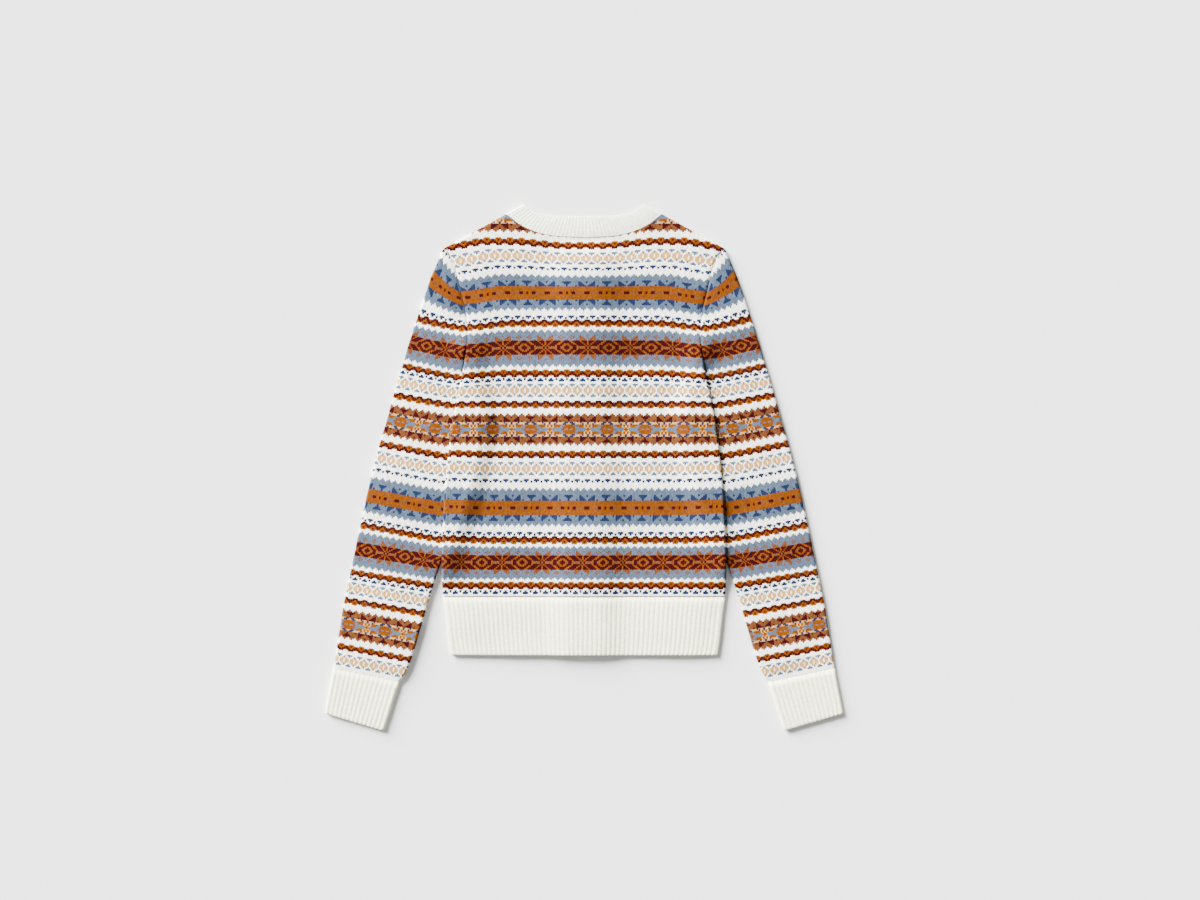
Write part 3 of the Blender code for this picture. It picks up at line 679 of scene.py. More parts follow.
def trimBody(grid, columns, topPath, inner):
    # cut the grid to the side fold, the armhole, the shoulder and the neck
    rows, count = grid.x.shape
    order = list(np.argsort(np.abs(columns), kind="stable"))
    towards = [[i for i in order if columns[i] * sign >= 0] for sign in (1, -1)]
    for j in range(rows):
        for line in towards:
            cells = [(j, i) for i in line]
            if len(cells) < 2:
                continue
            x, y = grid.placesOf(cells)
            gaps = np.where(y < tip[1], np.abs(x) - sideAt(y), -1.0)
            grid.trim(cells, gaps, lambda px, py: (math.copysign(float(sideAt(py)), px), py))
            if inner:
                gaps = inner - np.abs(grid.placesOf(cells)[0])
                grid.trim(cells[::-1], gaps[::-1], lambda px, py: (math.copysign(inner, px), py))
    shoulderAndNeck = np.vstack([topPath[::-1], tip[None, :]])
    shoulderAndNeck = shoulderAndNeck[np.argsort(shoulderAndNeck[:, 0], kind="stable")]

    def topAt(px):
        return np.interp(np.abs(px), shoulderAndNeck[:, 0], shoulderAndNeck[:, 1])

    tips = {}
    for i in range(count):
        cells = [(j, i) for j in range(rows)]
        x, y = grid.placesOf(cells)
        gaps = y - topAt(x)
        beyond = (np.abs(x) > tip[0]) & (y > tip[1] - 1e-6)
        if beyond.any():
            first = int(beyond.argmax())
            sign = 1 if columns[i] > 0 else -1
            name = tips.setdefault(sign, grid.ids[cells[first]])
            for cell in cells[first:]:
                grid.moveTo(cell, (sign * tip[0], tip[1]), name)
            cells, gaps = cells[:first], gaps[:first]
            if not cells:
                continue
        grid.trim(cells, gaps, lambda px, py: (px, float(topAt(px))))


def backCrown(x, y):
    fullness = smooth((sideAt(y) - np.abs(x)) / bodyKnit["crownReach"])
    return bodyKnit["crown"] * fullness * smooth((garment["backNeck"][-1][1] - y) / bodyKnit["crownReach"])


def makeBodyPanel(name, layer, sign, raised, seed):
    # the back, on the upper layer, or a front below it, from its band out to the side
    reach, inner = bodyKnit["halfStitches"], 0.0 if layer > 0 else frontEdge
    columns = np.arange(-reach if layer > 0 else bodyKnit["frontStart"], reach + 1)
    letters = yarnTable(0, bodyKnit["courses"], reach // 2 + 1)
    stitch = (columns[:-1] + 1) // 2 + reach // 2 + 1
    grid = Grid(*blooming(*bodyPlan(columns, layer > 0), letters, stitch))
    trimBody(grid, columns, backNeck if layer > 0 else frontNeck, inner)
    grid.x *= sign

    def laid(plan):
        return layPoints(plan, layer, bodyFolds, raised, garment["seamGap"] / 2)

    x, y = grid.x.ravel(), grid.y.ravel()
    z = laid(np.stack([x, y], -1))[0][:, 2]
    if layer > 0:
        calm = smooth((sideAt(y) - np.abs(x)) / bodyKnit["calmReach"])
        z = z + waves(x, y, 4, bodyKnit["waviness"]) * calm
        z = z + backCrown(x, y) - seamDip(x, y)
    faces, places, homes = gridFaces(grid.ids, (layer > 0) != (sign < 0))
    count = len(faces)
    points, faces, added = closeInside(np.column_stack([x, y, z]), faces,
                                       lambda plan: laid(plan)[1], layer > 0)
    x0, y0, width, height = bodyKnit["mapBox"]
    if layer < 0:
        x0, width = 0.0 if sign > 0 else x0, width / 2
    share = bodyKnit["bakeShare"]
    knitPlaces = [(c, r) for face in places for r, c in face]
    flatPlaces = []
    for k, face in enumerate(faces):
        start, size = (0.0, share) if k < count else (share + 0.01, 0.99 - share)
        for px, py in points[face, :2]:
            flatPlaces.append((start + size * (px - x0) / width, (py - y0) / height))
            if k >= count:
                knitPlaces.append((px / bodyKnit["insideLeg"], py / bodyKnit["insideCourse"]))
    letterOf = [letters[r, stitch[c]] for r, c in homes] + ["w"] * added
    return knitPiece(name, points, faces, knitPlaces, flatPlaces, letterOf, seed)


# Courses of a sleeve between its outer fold and the armhole or the underarm
sleeveKnit = {
    "firstCourse": -68,
    "lastCourse": 241,
    "halfStitches": 62,
    # course, height on the outer fold and at its inner end, bow, stitch width, motif's middle from the fold
    "table": [
        (-68, -0.2500, -0.2672, 0.0, 0.00210, -6.5), (-32, -0.1935, -0.2110, 0.0, 0.00208, -5.7),
        (7.5, -0.1306, -0.1480, 0.0, 0.00200, -4.8), (25.5, -0.1025, -0.1198, 0.0, 0.00198, -4.2),
        (43.5, -0.0719, -0.0925, 0.0002, 0.00198, -3.4), (66.5, -0.0341, -0.0550, 0.0005, 0.00197, -2.3),
        (103.5, 0.0296, 0.0078, 0.0005, 0.00198, -1.9), (161.5, 0.1269, 0.1105, 0.0008, 0.00199, -1.2),
        (179.5, 0.1556, 0.1414, 0.0010, 0.00200, -0.9), (197.5, 0.1850, 0.1727, 0.0015, 0.00196, -0.2),
        (215, 0.2265, 0.2010, 0.0030, 0.00190, 0.4), (220.5, 0.2372, 0.2100, 0.0033, 0.00189, 0.5),
        (226, 0.2480, 0.2198, 0.0036, 0.00187, 0.5), (234, 0.2650, 0.2400, 0.0020, 0.00185, 0.6),
        (241, 0.2731, 0.2731, 0.0, 0.00185, 0.6),
    ],
    "roundness": 0.0013,         # the sleeve is a little fuller along its middle
    "foldFade": 0.040,
    "endFade": 0.022,            # and flat again at both of its seams
    "waveShare": 0.7,
    "calmHeight": 0.0003,
    "footGap": 0.0005,
    "mapBox": (0.125, -0.275, 0.4, 0.56),        # the flat map's corner, width and height
}
sleeveTable = np.array(sleeveKnit["table"]).T
sleeveInside = np.vstack([sleeveInner[::-1], armhole[1:]])
cuffSeam = np.array([garment["cuffOuter"][0], garment["cuffInner"][0]])


def sleevePlan(columns):
    first, last = sleeveKnit["firstCourse"], sleeveKnit["lastCourse"]
    rows = np.arange(first, last + 1)[:, None]
    course = rows + np.where(columns % 2, bodyKnit["veeShare"], 0.0)[None, :]
    course[0] = first
    course[-1] = last
    up, low, bow, width, middle = (np.interp(course, sleeveTable[0], column) for column in sleeveTable[1:])
    outer = sleeveOuter[::-1]
    start = np.stack([np.interp(up, outer[:, 1], outer[:, 0]), up], -1)
    end = np.stack([np.interp(low, sleeveInside[:, 1], sleeveInside[:, 0]), low], -1)
    across = end - start
    length = np.hypot(across[..., 0], across[..., 1])
    around = (columns[None, :] / 2.0 + middle) * width
    share = np.abs(around) / np.maximum(length, 1e-6)
    plan = start + share[..., None] * across
    plan[..., 1] -= bow * 4 * np.clip(share * (1 - share), 0, 1)
    return plan[..., 0], plan[..., 1], share, np.sign(around)


def onSleeveSeam(px, py):
    return float(np.interp(py, sleeveInside[:, 1], sleeveInside[:, 0])), py


def makeSleeve(name, sign, seed):
    half = sleeveKnit["halfStitches"]
    columns = np.arange(-2 * half, 2 * half + 1)
    x, y, share, layer = sleevePlan(columns)
    letters = yarnTable(sleeveKnit["firstCourse"], sleeveKnit["lastCourse"], half + 1)
    stitch = (columns[:-1] + 1) // 2 + half + 1
    grid = Grid(*blooming(x, y, letters, stitch))
    rows, count = x.shape
    for j in range(rows - 1):
        middle = int(np.argmin(share[j]))
        for line in (list(range(middle, count)), list(range(middle, -1, -1))):
            grid.trim([(j, i) for i in line], share[j, line] - 1.0, onSleeveSeam)
        # under the arm both layers meet in one point
        left, right = grid.ids[j, 0], grid.ids[j, -1]
        seamY = 0.5 * (grid.y[j, 0] + grid.y[j, -1])
        if seamY < foot[1] - sleeveKnit["footGap"]:
            cells = np.isin(grid.ids[j], (left, right))
            grid.x[j, cells], grid.y[j, cells] = onSleeveSeam(0.0, seamY)
            grid.ids[j, cells] = left
    grid.x[-1], grid.y[-1] = tip
    grid.ids[-1] = grid.ids[-1, 0]

    x, y = grid.x.ravel(), grid.y.ravel()
    plan = np.stack([x, y], -1)
    above = (layer >= 0).ravel()
    z = np.zeros(len(x))
    for side, mask in ((1.0, above), (-1.0, ~above)):
        z[mask] = layPoints(plan[mask], side, sleeveFolds, seamLift, 0.0)[0][:, 2]
    gap = nearPath(plan, sleeveOuter)[0]
    ends = np.minimum(nearPath(plan, armhole)[0], nearPath(plan, cuffSeam)[0])
    full = smooth(gap / sleeveKnit["foldFade"]) * smooth(ends / sleeveKnit["endFade"])
    full = full * sleeveKnit["roundness"]
    uneven = sleeveKnit["waveShare"] * waves(x, y, 9, bodyKnit["waviness"])
    uneven = uneven * smooth(gap / bodyKnit["calmReach"])
    z += above * (full + uneven * smooth(full / sleeveKnit["calmHeight"]))
    points = np.column_stack([x * sign, y, z - above * seamDip(x, y)])
    # a point shared by both layers lies half way between them
    for shared, other in zip(grid.ids[:-1, 0], grid.ids[:-1, -1]):
        if shared == other:
            points[shared, 2] = foldTurn + seamLift(points[shared, :1], points[shared, 1:2])[0]
    points[grid.ids[-1, 0]] = (tip[0] * sign, tip[1], foldTurn)
    faces, places, homes = gridFaces(grid.ids, sign < 0)
    x0, y0, width, height = sleeveKnit["mapBox"]
    flatPlaces = []
    for face, spots in zip(faces, places):
        column = int(sum(c for r, c in spots) / len(spots))
        shift = 0.0 if layer[spots[0][0], column] >= 0 else 0.5
        flatPlaces += [((abs(px) - x0) / width + shift, (py - y0) / height) for px, py in points[face, :2]]
    knitPlaces = [(c, r) for face in places for r, c in face]
    letterOf = [letters[r, stitch[c]] for r, c in homes]
    return knitPiece(name, points, faces, knitPlaces, flatPlaces, letterOf, seed)


def ride(piece, slotName, *nodes):
    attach(piece, "root")
    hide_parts(*nodes)


back = makeBodyPanel("backKnit", 1, 1, backRaise, 11)
print("back knitted", len(back.data.polygons))
rightFront = makeBodyPanel("rightFrontKnit", -1, 1, frontRaise(buttonholeBandRise), 21)
leftFront = makeBodyPanel("leftFrontKnit", -1, -1, frontRaise(buttonBandRise), 22)
print("fronts knitted", len(rightFront.data.polygons))
rightSleeve = makeSleeve("rightSleeveKnit", 1, 31)
leftSleeve = makeSleeve("leftSleeveKnit", -1, 32)
print("sleeves knitted", len(rightSleeve.data.polygons))
for piece, node in ((back, "back"), (rightFront, "right_front"), (leftFront, "left_front"),
                    (rightSleeve, "right_sleeve"), (leftSleeve, "left_sleeve")):
    ride(piece, "jacquard_knit", node)


# Ribs and seams are shaped by Geometry Nodes

def newTree(name, numbers):
    tree = bpy.data.node_groups.new(name, "GeometryNodeTree")
    tree.is_modifier = True
    sockets = tree.interface
    sockets.new_socket("Geometry", in_out="INPUT", socket_type="NodeSocketGeometry")
    sockets.new_socket("Geometry", in_out="OUTPUT", socket_type="NodeSocketGeometry")
    for label, value in numbers.items():
        made = sockets.new_socket(label, in_out="INPUT", socket_type="NodeSocketFloat")
        made.default_value = value
    sockets.new_socket("Material", in_out="INPUT", socket_type="NodeSocketMaterial")
    return tree, addNode(tree, "NodeGroupInput"), addNode(tree, "NodeGroupOutput")


def endTree(tree, start, end, geometry):
    real = addNode(tree, "GeometryNodeRealizeInstances", {0: geometry})
    worn = addNode(tree, "GeometryNodeSetMaterial",
                   {"Geometry": real.outputs[0], "Material": start.outputs["Material"]})
    tree.links.new(worn.outputs[0], end.inputs[0])


def ribTree():
    # sinks the grooves of a rib knit into a smooth shell
    tree, start, end = newTree("ribRelief", {"Rib Pitch": 0.006, "Groove Depth": 0.0008,
                                             "Groove Sharpness": 2.2})
    across = addNode(tree, "GeometryNodeInputNamedAttribute", {"Name": "acrossRibs"}, data_type="FLOAT")
    way = addNode(tree, "GeometryNodeInputNamedAttribute", {"Name": "ribWay"}, data_type="FLOAT_VECTOR")
    turns = maths(tree, "DIVIDE", across.outputs[0], start.outputs["Rib Pitch"])
    wave = maths(tree, "COSINE", maths(tree, "MULTIPLY", turns, math.tau))
    share = maths(tree, "MULTIPLY_ADD", wave, 0.5, 0.5)
    groove = maths(tree, "POWER", share, start.outputs["Groove Sharpness"])
    sunk = maths(tree, "MULTIPLY", maths(tree, "MULTIPLY", groove, start.outputs["Groove Depth"]), -1.0)
    offset = addNode(tree, "ShaderNodeVectorMath", {0: way.outputs[0], "Scale": sunk}, operation="SCALE")
    moved = addNode(tree, "GeometryNodeSetPosition",
                    {"Geometry": start.outputs[0], "Offset": offset.outputs[0]})
    endTree(tree, start, end, moved.outputs[0])
    return tree


def stitchTree():
    # sewing stitches in a row along a path: short arched pieces of thread
    tree, start, end = newTree("seamStitches", {"Spacing": 0.0022, "Stitch Length": 0.0024,
                                                "Thread Radius": 0.0003, "Arch": 0.0006, "Turn": 0.0})
    given = start.outputs
    curve = addNode(tree, "GeometryNodeMeshToCurve", {0: given[0]})
    points = addNode(tree, "GeometryNodeResampleCurve",
                     {"Curve": curve.outputs[0], "Length": given["Spacing"]}, mode="LENGTH")
    half = maths(tree, "MULTIPLY", given["Stitch Length"], 0.5)
    back = maths(tree, "MULTIPLY", half, -1.0)
    first, top, last = (addNode(tree, "ShaderNodeCombineXYZ", {key: value}).outputs[0]
                        for key, value in (("X", back), ("Z", given["Arch"]), ("X", half)))
    arch = addNode(tree, "GeometryNodeCurveQuadraticBezier",
                   {"Resolution": 4, "Start": first, "Middle": top, "End": last})
    ring = addNode(tree, "GeometryNodeCurvePrimitiveCircle",
                   {"Resolution": 6, "Radius": given["Thread Radius"]})
    thread = addNode(tree, "GeometryNodeCurveToMesh",
                     {"Curve": arch.outputs[0], "Profile Curve": ring.outputs[0], "Fill Caps": True})
    tangent = addNode(tree, "GeometryNodeInputTangent")
    facing = addNode(tree, "FunctionNodeAlignRotationToVector", {"Vector": tangent.outputs[0]},
                     axis="X", pivot_axis="Z")
    spin = addNode(tree, "ShaderNodeCombineXYZ", {"Z": given["Turn"]})
    toSpin = addNode(tree, "FunctionNodeEulerToRotation", {0: spin.outputs[0]})
    turned = addNode(tree, "FunctionNodeRotateRotation", {0: facing.outputs[0], 1: toSpin.outputs[0]},
                     rotation_space="LOCAL")
    laid = addNode(tree, "GeometryNodeInstanceOnPoints",
                   {"Points": points.outputs[0], "Instance": thread.outputs[0],
                    "Rotation": turned.outputs[0]})
    endTree(tree, start, end, laid.outputs[0])
    return tree


def keepShape(piece):
    # keeps what the modifiers make of a piece as its plain mesh
    bpy.context.view_layer.update()
    shaped = bpy.data.meshes.new_from_object(piece.evaluated_get(bpy.context.evaluated_depsgraph_get()))
    piece.modifiers.clear()
    piece.data = shaped
    shaped.shade_smooth()
    return shaped


def shapedBy(piece, tree, material, numbers):
    modifier = piece.modifiers.new("shape", "NODES")
    modifier.node_group = tree
    for item in tree.interface.items_tree:
        if item.item_type == "SOCKET" and item.in_out == "INPUT":
            if item.name in numbers:
                modifier[item.identifier] = float(numbers[item.name])
            elif item.name == "Material":
                modifier[item.identifier] = material
    keepShape(piece)
    return piece


ribRelief = ribTree()
seamStitches = stitchTree()

ribKnit = {
    "pitch": 0.0060,             # hem, cuffs and bands: two raised wales and one sunk
    "neckPitch": 0.0050,
    "depth": 0.00045,
    "neckDepth": 0.00025,
    "sharpness": 2.2,            # how narrow the grooves are beside the ribs
    "steps": 8,                  # points across each rib
    "legsPerRib": 6,
    "course": 0.0016,
    "edgeRound": 0.0011,         # the free edges turn down
    "edgeReach": 0.0016,
    "edgeStart": [0.0, 0.0003, 0.0008, 0.0016],
    "evenFrom": 0.003,           # from here on the points are evenly spaced
    "cornerRadius": 0.0040,
    "seamCrease": 0.0004,
    "creaseReach": 0.003,
    "neckRound": 0.0010,
    "neckShares": [0.0, 0.03, 0.09, 0.2, 0.35, 0.5, 0.65, 0.8, 0.91, 0.97, 1.0],
    "neckMap": 0.026,
    "bandRibs": 5,
    "bandShift": 0.003,          # half a rib, so that each band has a rib in its middle
}


def edgeSteps(length, count):
    # distances along a rib, close together beside its free end
    return np.concatenate([ribKnit["edgeStart"], np.linspace(ribKnit["evenFrom"], length, count)])


def ribShell(name, grids, across, along, closed=False, neck=False):
    # a rib's shell from its outer and inner points and the ways in which its grooves sink
    outer, inner, way = grids
    pitch, depth, wool = ((ribKnit["neckPitch"], ribKnit["neckDepth"], neckWool) if neck else
                          (ribKnit["pitch"], ribKnit["depth"], ribWool))
    rows, count = outer.shape[:2]
    points = np.vstack([outer.reshape(-1, 3), inner.reshape(-1, 3)])
    first = np.arange(rows * count).reshape(rows, count)
    second = first + rows * count
    spans = [(i, (i + 1) % count) for i in range(count if closed else count - 1)]
    faces = []
    for j in range(rows - 1):
        for i, k in spans:
            faces.append((first[j, i], first[j, k], first[j + 1, k], first[j + 1, i]))
            faces.append((second[j, i], second[j + 1, i], second[j + 1, k], second[j, k]))
    for j in (0, rows - 1):
        faces += [(first[j, i], first[j, k], second[j, k], second[j, i]) for i, k in spans]
    if not closed:
        for i in (0, count - 1):
            faces += [(first[j, i], first[j + 1, i], second[j + 1, i], second[j, i]) for j in range(rows - 1)]
    mesh = bpy.data.meshes.new(name)
    mesh.from_pydata(points.tolist(), [], [tuple(int(v) for v in face) for face in faces])
    builder = bmesh.new()
    builder.from_mesh(mesh)
    bmesh.ops.recalc_face_normals(builder, faces=builder.faces)
    builder.to_mesh(mesh)
    builder.free()
    both = np.tile(across, 2 * rows)
    down = np.tile(np.repeat(along, count), 2)
    ways = np.vstack([(way * np.array([0, 0, 1.0])).reshape(-1, 3), np.zeros((rows * count, 3))])
    for label, kind, key, values in (("acrossRibs", "FLOAT", "value", both),
                                     ("ribWay", "FLOAT_VECTOR", "vector", ways)):
        mesh.attributes.new(label, kind, "POINT").data.foreach_set(key, values.astype(np.float32).ravel())
    corner = np.empty(len(mesh.loops), np.int32)
    mesh.loops.foreach_get("vertex_index", corner)
    knit = np.stack([both[corner] / pitch * ribKnit["legsPerRib"], down[corner] / ribKnit["course"]], -1)
    mesh.uv_layers.new(name="knit").uv.foreach_set("vector", knit.astype(np.float32).ravel())
    return shapedBy(placed(name, mesh), ribRelief, wool,
                    {"Rib Pitch": pitch, "Groove Depth": depth, "Groove Sharpness": ribKnit["sharpness"]})


def roundEdge(distance):
    return ribKnit["edgeRound"] * (1.0 - np.clip(distance / ribKnit["edgeReach"], 0.0, 1.0)) ** 2


def cornerInset(distance):
    r = ribKnit["cornerRadius"]
    left = np.clip(r - distance, 0.0, r)
    return r - np.sqrt(r * r - left * left)


def makeHem(name, start, layer, raised, sign=1):
    # the back's hem runs from side to side, with no start; a front's from its band out to the side
    ends = edgeSteps(garment["hemTop"] - garment["seamGap"] - garment["hemBottom"], 9)
    low = garment["hemBottom"] + ends
    topWidth = float(sideAt(garment["hemTop"]))
    side = garment["hemHalf"]
    count = int(round((side - start if start else 2 * side) / ribKnit["pitch"] * ribKnit["steps"])) + 1
    across = np.linspace(start or -side, side, count)
    width = sideAt(low) - cornerInset(ends)
    share = np.sign(across) * (np.abs(across) - start) / (topWidth - start)
    x = np.sign(across)[None, :] * start + share[None, :] * (width[:, None] - start)
    plan = np.stack([x, np.broadcast_to(low[:, None], x.shape)], -1)
    outer, inner, way = layPoints(plan, layer, bodyFolds, raised, garment["seamGap"] / 2)
    crease = np.clip(1.0 - (ends[-1] - ends) / ribKnit["creaseReach"], 0.0, 1.0) ** 2
    outer[..., 2] -= layer * (roundEdge(ends) + ribKnit["seamCrease"] * crease)[:, None]
    if layer > 0:
        calm = smooth((topWidth - np.abs(x)) / bodyKnit["calmReach"])
        outer[..., 2] += waves(x, plan[..., 1], 4, bodyKnit["waviness"]) * calm
        outer[..., 2] += backCrown(x, plan[..., 1])
    for grid in (outer, inner, way):
        grid[..., 0] *= sign
    return ribShell(name, (outer, inner, way), across, ends)


def makeCuff(name, sign):
    outerEnds, innerEnds = np.array(garment["cuffOuter"]), np.array(garment["cuffInner"])
    length = float(np.hypot(*(outerEnds[1] - outerEnds[0])))
    width = float(np.hypot(*(innerEnds[0] - outerEnds[0])))
    ends = edgeSteps(length, 8)
    share = (1.0 - ends / length)[:, None, None]
    left = outerEnds[0] + share * (outerEnds[1] - outerEnds[0])
    right = innerEnds[0] + share * (innerEnds[1] - innerEnds[0])
    over = np.linspace(0.0, 1.0, int(round(width / ribKnit["pitch"] * ribKnit["steps"])) + 1)
    inset = (cornerInset(ends) / width)[:, None, None]
    plan = left + (inset + over[None, :, None] * (1 - 2 * inset)) * (right - left)
    above, below = (layPoints(plan, layer, [outerEnds[::-1], innerEnds], lambda x, y: 0.0 * x, 0.0)
                    for layer in (1, -1))
    outer, inner, way = (np.concatenate([a, b[:, -2:0:-1]], axis=1) for a, b in zip(above, below))
    off = outer[..., 2] - foldTurn
    outer[..., 2] -= np.sign(off) * np.minimum(roundEdge(ends)[:, None], np.abs(off) * 0.9)
    for grid in (outer, inner, way):
        grid[..., 0] *= sign
    around = np.concatenate([over, over[-2:0:-1]]) * width
    return ribShell(name, (outer, inner, way), around, ends, closed=True)


def bandHalf(seam, edge, layer, raised):
    # half the neckband on one layer, from the fold at the neck point
    length = pathLength(seam)
    count = int(round(length / ribKnit["neckPitch"])) * ribKnit["steps"]
    distances = np.linspace(0.0, length, count + 1)
    low = alongPath(seam, distances)
    high = alongPath(edge, distances / length * pathLength(edge))
    out = (high - low) / np.hypot(*(high - low).T)[:, None]
    low = low + out * garment["seamGap"]
    shares = np.array(ribKnit["neckShares"])
    plan = low[None] + shares[:, None, None] * (high - low)[None]
    outer, inner, way = layPoints(plan, layer, [np.array([seam[0], edge[0]])], raised, 0.0)
    rounding = ribKnit["neckRound"] * np.abs(2 * shares - 1) ** 3
    full = np.abs(outer[..., 2] - inner[..., 2]) / garment["wall"]
    outer[..., 2] -= layer * rounding[:, None] * np.clip(full, 0, 1)
    return (outer, inner, way), distances


def makeNeckband():
    sides = []
    backEdge, lowEdge = roundedPath(garment["backNeckEdge"]), roundedPath(garment["frontNeckEdge"])
    for sign, bandRise in ((1, buttonholeBandRise), (-1, buttonBandRise)):
        behind, backSteps = bandHalf(backNeck, backEdge, 1, backRaise)
        before, frontSteps = bandHalf(frontNeck, lowEdge, -1, frontRaise(bandRise))
        grids = [np.concatenate([b[:, ::-1], a[:, 1:]], axis=1) for a, b in zip(behind, before)]
        for grid in grids:
            grid[..., 0] *= sign
        sides.append((grids, np.concatenate([-frontSteps[::-1], backSteps[1:]])))
    (right, rightSteps), (left, leftSteps) = sides
    grids = [np.concatenate([r, l[:, ::-1][:, 1:]], axis=1) for r, l in zip(right, left)]
    total = np.concatenate([rightSteps, 2 * rightSteps[-1] - leftSteps[::-1][1:]])
    up = np.array(ribKnit["neckShares"]) * ribKnit["neckMap"]
    return ribShell("neckbandRib", grids, total, up, neck=True)


def makeFrontBand(name, rise):
    half = garment["bandWidth"] / 2
    across = np.linspace(-half, half, ribKnit["bandRibs"] * ribKnit["steps"] + 1)
    length = garment["bandTop"] - garment["hemBottom"]
    down = np.unique(np.concatenate([edgeSteps(length, 30), length - edgeSteps(length, 30)]))
    x, y = np.meshgrid(across, garment["hemBottom"] + down)
    ends = np.minimum(down, length - down)
    z = rise + roundEdge(ends)[:, None] + roundEdge(half - np.abs(across))[None, :]
    outer = np.stack([x, y, z], -1)
    inner = np.stack([x, y, np.full_like(x, rise + garment["wall"])], -1)
    way = np.broadcast_to([0.0, 0.0, -1.0], outer.shape)
    return ribShell(name, (outer, inner, way), across + ribKnit["bandShift"], down)


backHem = makeHem("backHemRib", 0.0, 1, backRaise)
rightHem = makeHem("rightFrontHemRib", frontEdge, -1, frontRaise(buttonholeBandRise))
leftHem = makeHem("leftFrontHemRib", frontEdge, -1, frontRaise(buttonBandRise), -1)
rightCuff = makeCuff("rightCuffRib", 1)
leftCuff = makeCuff("leftCuffRib", -1)
neckband = makeNeckband()
buttonholeBand = makeFrontBand("buttonholeBandRib", buttonholeBandRise)
buttonBand = makeFrontBand("buttonBandRib", buttonBandRise)
for piece, node in ((backHem, "back_hem_rib"), (rightHem, "right_front_hem_rib"),
                    (leftHem, "left_front_hem_rib"), (rightCuff, "right_cuff"), (leftCuff, "left_cuff"),
                    (neckband, "neckband"), (buttonholeBand, "buttonhole_band"), (buttonBand, "button_band")):
    ride(piece, "ivory_rib_knit", node)
    print(piece.name, len(piece.data.polygons))
print("ribs knitted")


# Sewing: the neckband's linked seam, the buttonholes in the band below and the buttons' thread
sewing = {
    "linkStart": 0.002,
    "link": {"Spacing": 0.0020, "Stitch Length": 0.0021, "Thread Radius": 0.00034, "Arch": 0.0005},
    "holeLength": 0.0172,
    "holeWidth": 0.0020,
    "holeLift": 0.0002,
    # the buttonholes are worked on the lower side
    "hole": {"Spacing": 0.0007, "Stitch Length": 0.0017, "Thread Radius": 0.00024, "Arch": -0.0005,
             "Turn": math.pi / 2},
    "barStep": 0.0006,
    "barHeight": 0.00062,
    "bar": {"Spacing": 0.0003, "Thread Radius": 0.00016, "Arch": -0.0006, "Turn": math.pi / 2},
}
buttonSpots = np.linspace(*garment["buttonEnds"], 7)         # heights of the buttons up the front


def sewAlong(name, path, material, stitches):
    mesh = bpy.data.meshes.new(name)
    places = [tuple(map(float, place)) for place in path]
    mesh.from_pydata(places, [(k, k + 1) for k in range(len(path) - 1)], [])
    return shapedBy(placed(name, mesh), seamStitches, material, stitches)


def joined(name, made):
    builder = bmesh.new()
    for piece in made:
        builder.from_mesh(piece.data)
    mesh = bpy.data.meshes.new(name)
    builder.to_mesh(mesh)
    builder.free()
    mesh.materials.append(made[0].data.materials[0])
    for piece in made:
        bpy.data.objects.remove(piece)
    mesh.shade_smooth()
    return placed(name, mesh)


def makeNeckSeam():
    half = alongPath(backNeck, np.linspace(sewing["linkStart"], pathLength(backNeck), 60))
    plan = np.vstack([half, half[::-1][1:] * np.array([-1.0, 1.0])])
    top = layPoints(plan, 1, bodyFolds, backRaise, garment["seamGap"] / 2)[0]
    # the thread's grey here is painted shade under the neckband's edge
    return sewAlong("neckLinkingSeam", top, shadeGreyLinkingThread, sewing["link"])


def makeButtonholes():
    around = np.linspace(0.0, math.tau, 49)
    x = 0.5 * sewing["holeWidth"] * np.cos(around)
    z = np.full(len(x), buttonholeBandRise + sewing["holeLift"])
    made = []
    for k, spot in enumerate(buttonSpots):
        ring = np.column_stack([x, spot + 0.5 * sewing["holeLength"] * np.sin(around), z])
        made.append(sewAlong(f"ring{k}", ring, sewingThread, sewing["hole"]))
    return joined("buttonholeStitches", made)


buttonCast = {
    "radius": 0.0075,
    "sides": 48,
    # distance out as a share of the radius, height up from the floor, from the face's middle to the back's
    "profile": [(0.00, 0.00060), (0.58, 0.00060), (0.68, 0.00045), (0.76, 0.00010), (0.84, 0.00000),
                (0.93, 0.00012), (0.98, 0.00045), (1.00, 0.00090), (0.99, 0.00140), (0.94, 0.00185),
                (0.80, 0.00210), (0.50, 0.00220), (0.00, 0.00220)],
    "holeRadius": 0.0008,
    "holeSpread": 0.0016,
    "holeSides": 14,
    "drillEnds": (-0.001, 0.004),
}


def turnedDisc(name, profile, sides, place):
    # a closed shape turned about an upright axis
    points, faces, rings = [], [], []
    for out, up in profile:
        start = len(points)
        turns = [math.tau * k / sides for k in range(sides if out else 1)]
        points += [(place[0] + out * math.cos(turn), place[1] + out * math.sin(turn), place[2] + up)
                   for turn in turns]
        rings.append([start + k for k in range(sides)] if out else [start] * sides)
    for one, two in zip(rings, rings[1:]):
        for k in range(sides):
            face = [one[k], one[(k + 1) % sides], two[(k + 1) % sides], two[k]]
            faces.append([v for i, v in enumerate(face) if v != face[i - 1]])
    mesh = bpy.data.meshes.new(name)
    mesh.from_pydata(points, [], faces)
    return placed(name, mesh)


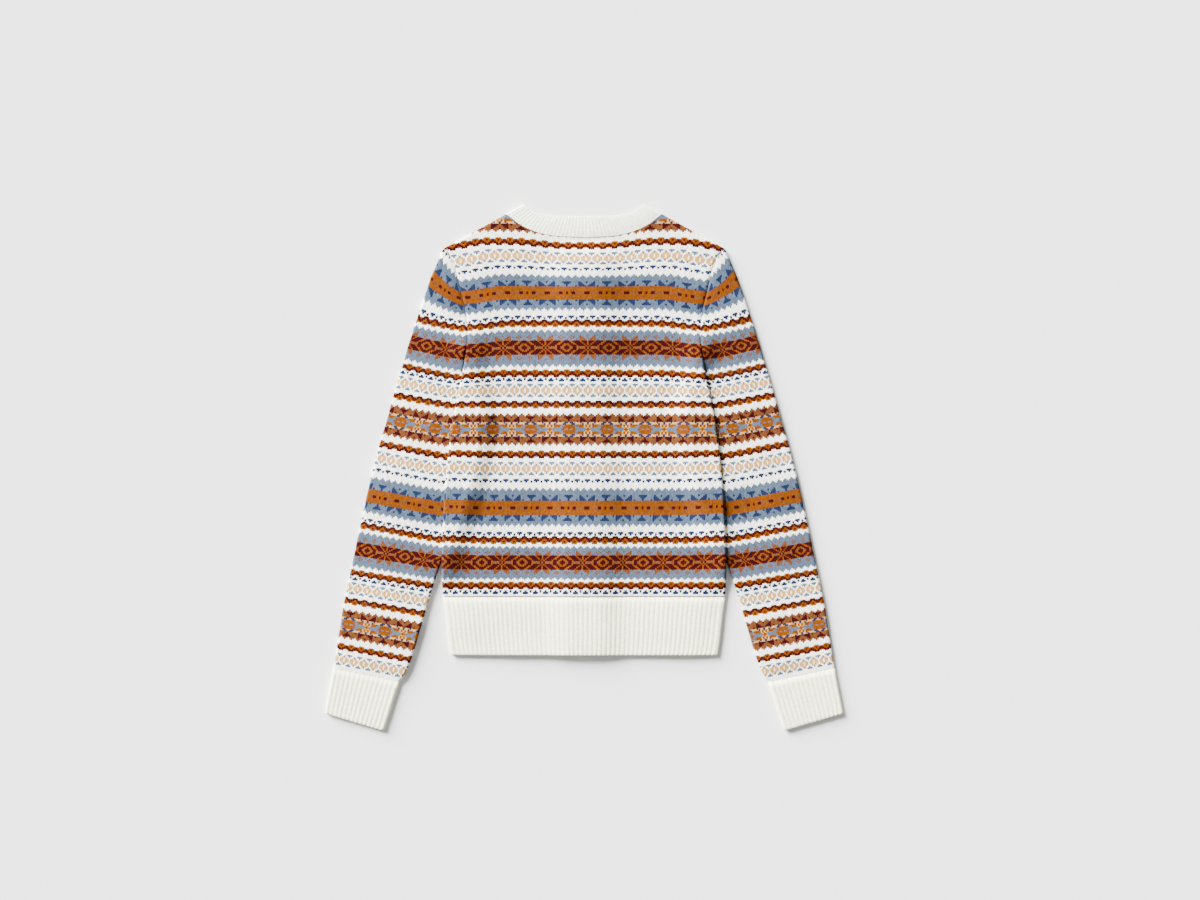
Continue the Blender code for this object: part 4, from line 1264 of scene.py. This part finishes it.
def makeButton(number, height):
    radius, spread, drill = (buttonCast[key] for key in ("radius", "holeSpread", "holeRadius"))
    profile = [(share * radius, up) for share, up in buttonCast["profile"]]
    button = turnedDisc(f"sewnButton{number}", profile, buttonCast["sides"], (0.0, height, 0.0))
    low, high = buttonCast["drillEnds"]
    pins = [turnedDisc("pin", [(0.0, low), (drill, low), (drill, high), (0.0, high)], buttonCast["holeSides"],
                       (dx * spread, height + dy * spread, 0.0)) for dx in (-1, 1) for dy in (-1, 1)]
    for pin in pins:
        cut = button.modifiers.new("hole", "BOOLEAN")
        cut.operation, cut.solver, cut.object = "DIFFERENCE", "EXACT", pin
    shaped = keepShape(button)
    for pin in pins:
        bpy.data.objects.remove(pin)
    shaped.materials.clear()
    shaped.materials.append(buttonResin)
    shaped.set_sharp_from_angle(angle=math.radians(50))
    return button


def makeButtonThreads():
    spread = buttonCast["holeSpread"]
    bars = []
    for k, height in enumerate(buttonSpots):
        for side in (-1, 1):
            path = [(side * spread + sewing["barStep"] * (t - 0.5), height, sewing["barHeight"])
                    for t in (0.0, 0.5, 1.0)]
            stitches = sewing["bar"] | {"Stitch Length": 2 * spread}
            bars.append(sewAlong(f"bar{k}{side}", path, sewingThread, stitches))
    return joined("buttonThreads", bars)


neckSeam = makeNeckSeam()
buttonholes = makeButtonholes()
threads = makeButtonThreads()
for piece in (neckSeam, buttonholes, threads):
    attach(piece, "root")
buttons = [makeButton(k + 1, height) for k, height in enumerate(buttonSpots)]
for k, button in enumerate(buttons):
    ride(button, "button_resin", f"button_{k + 1}")
print("seams sewn and buttons set")


# Every panel is knitted to its shape, so its flat cut is its laid outline
sleeveWidth = float(nearPath(sleeveInner, sleeveOuter)[0].max())


# Floor, light and camera
studio = {
    "floor": "#D9D9D9",
    "floorHalf": 4.0,
    "cameraHeight": 3.0,
    "lens": 72.0,
    "sensor": 36.0,
    "aim": (0.0200, 0.0219),
    "keyWay": (-0.78, 0.78, 0.42),
    "keyStrength": 40.6,
    "keySpread": 38.0,           # degrees, for soft shadows
    "fill": 0.60,
}


def makeStudio():
    floorMesh = bpy.data.meshes.new("floor")
    size = studio["floorHalf"]
    floorMesh.from_pydata([(x * size, y * size, 0) for x, y in ((-1, -1), (1, -1), (1, 1), (-1, 1))],
                          [], [(0, 1, 2, 3)])
    floor = placed("floor", floorMesh)
    # Matt studio paper, uncoated: pale and almost without shine
    paper, tree, shader = startMaterial("pale_studio_paper", 0.95, 0.1)
    shader.inputs["Base Color"].default_value = linearColour(studio["floor"])
    floorMesh.materials.append(paper)
    world = bpy.data.worlds.new("studio")
    bpy.context.scene.world = world
    world.use_nodes = True
    sky = world.node_tree.nodes["Background"]
    sky.inputs["Color"].default_value = (1, 1, 1, 1)
    sky.inputs["Strength"].default_value = studio["fill"]
    key = bpy.data.lights.new("key", "SUN")
    key.energy = studio["keyStrength"]
    key.angle = math.radians(studio["keySpread"])
    placed("key", key).rotation_euler = Vector(studio["keyWay"]).to_track_quat("Z", "Y").to_euler()
    lens = bpy.data.cameras.new("camera")
    lens.lens = studio["lens"]
    lens.sensor_width = studio["sensor"]
    camera = placed("camera", lens)
    camera.location = (*studio["aim"], studio["cameraHeight"])
    bpy.context.scene.camera = camera


makeStudio()
print("studio set")
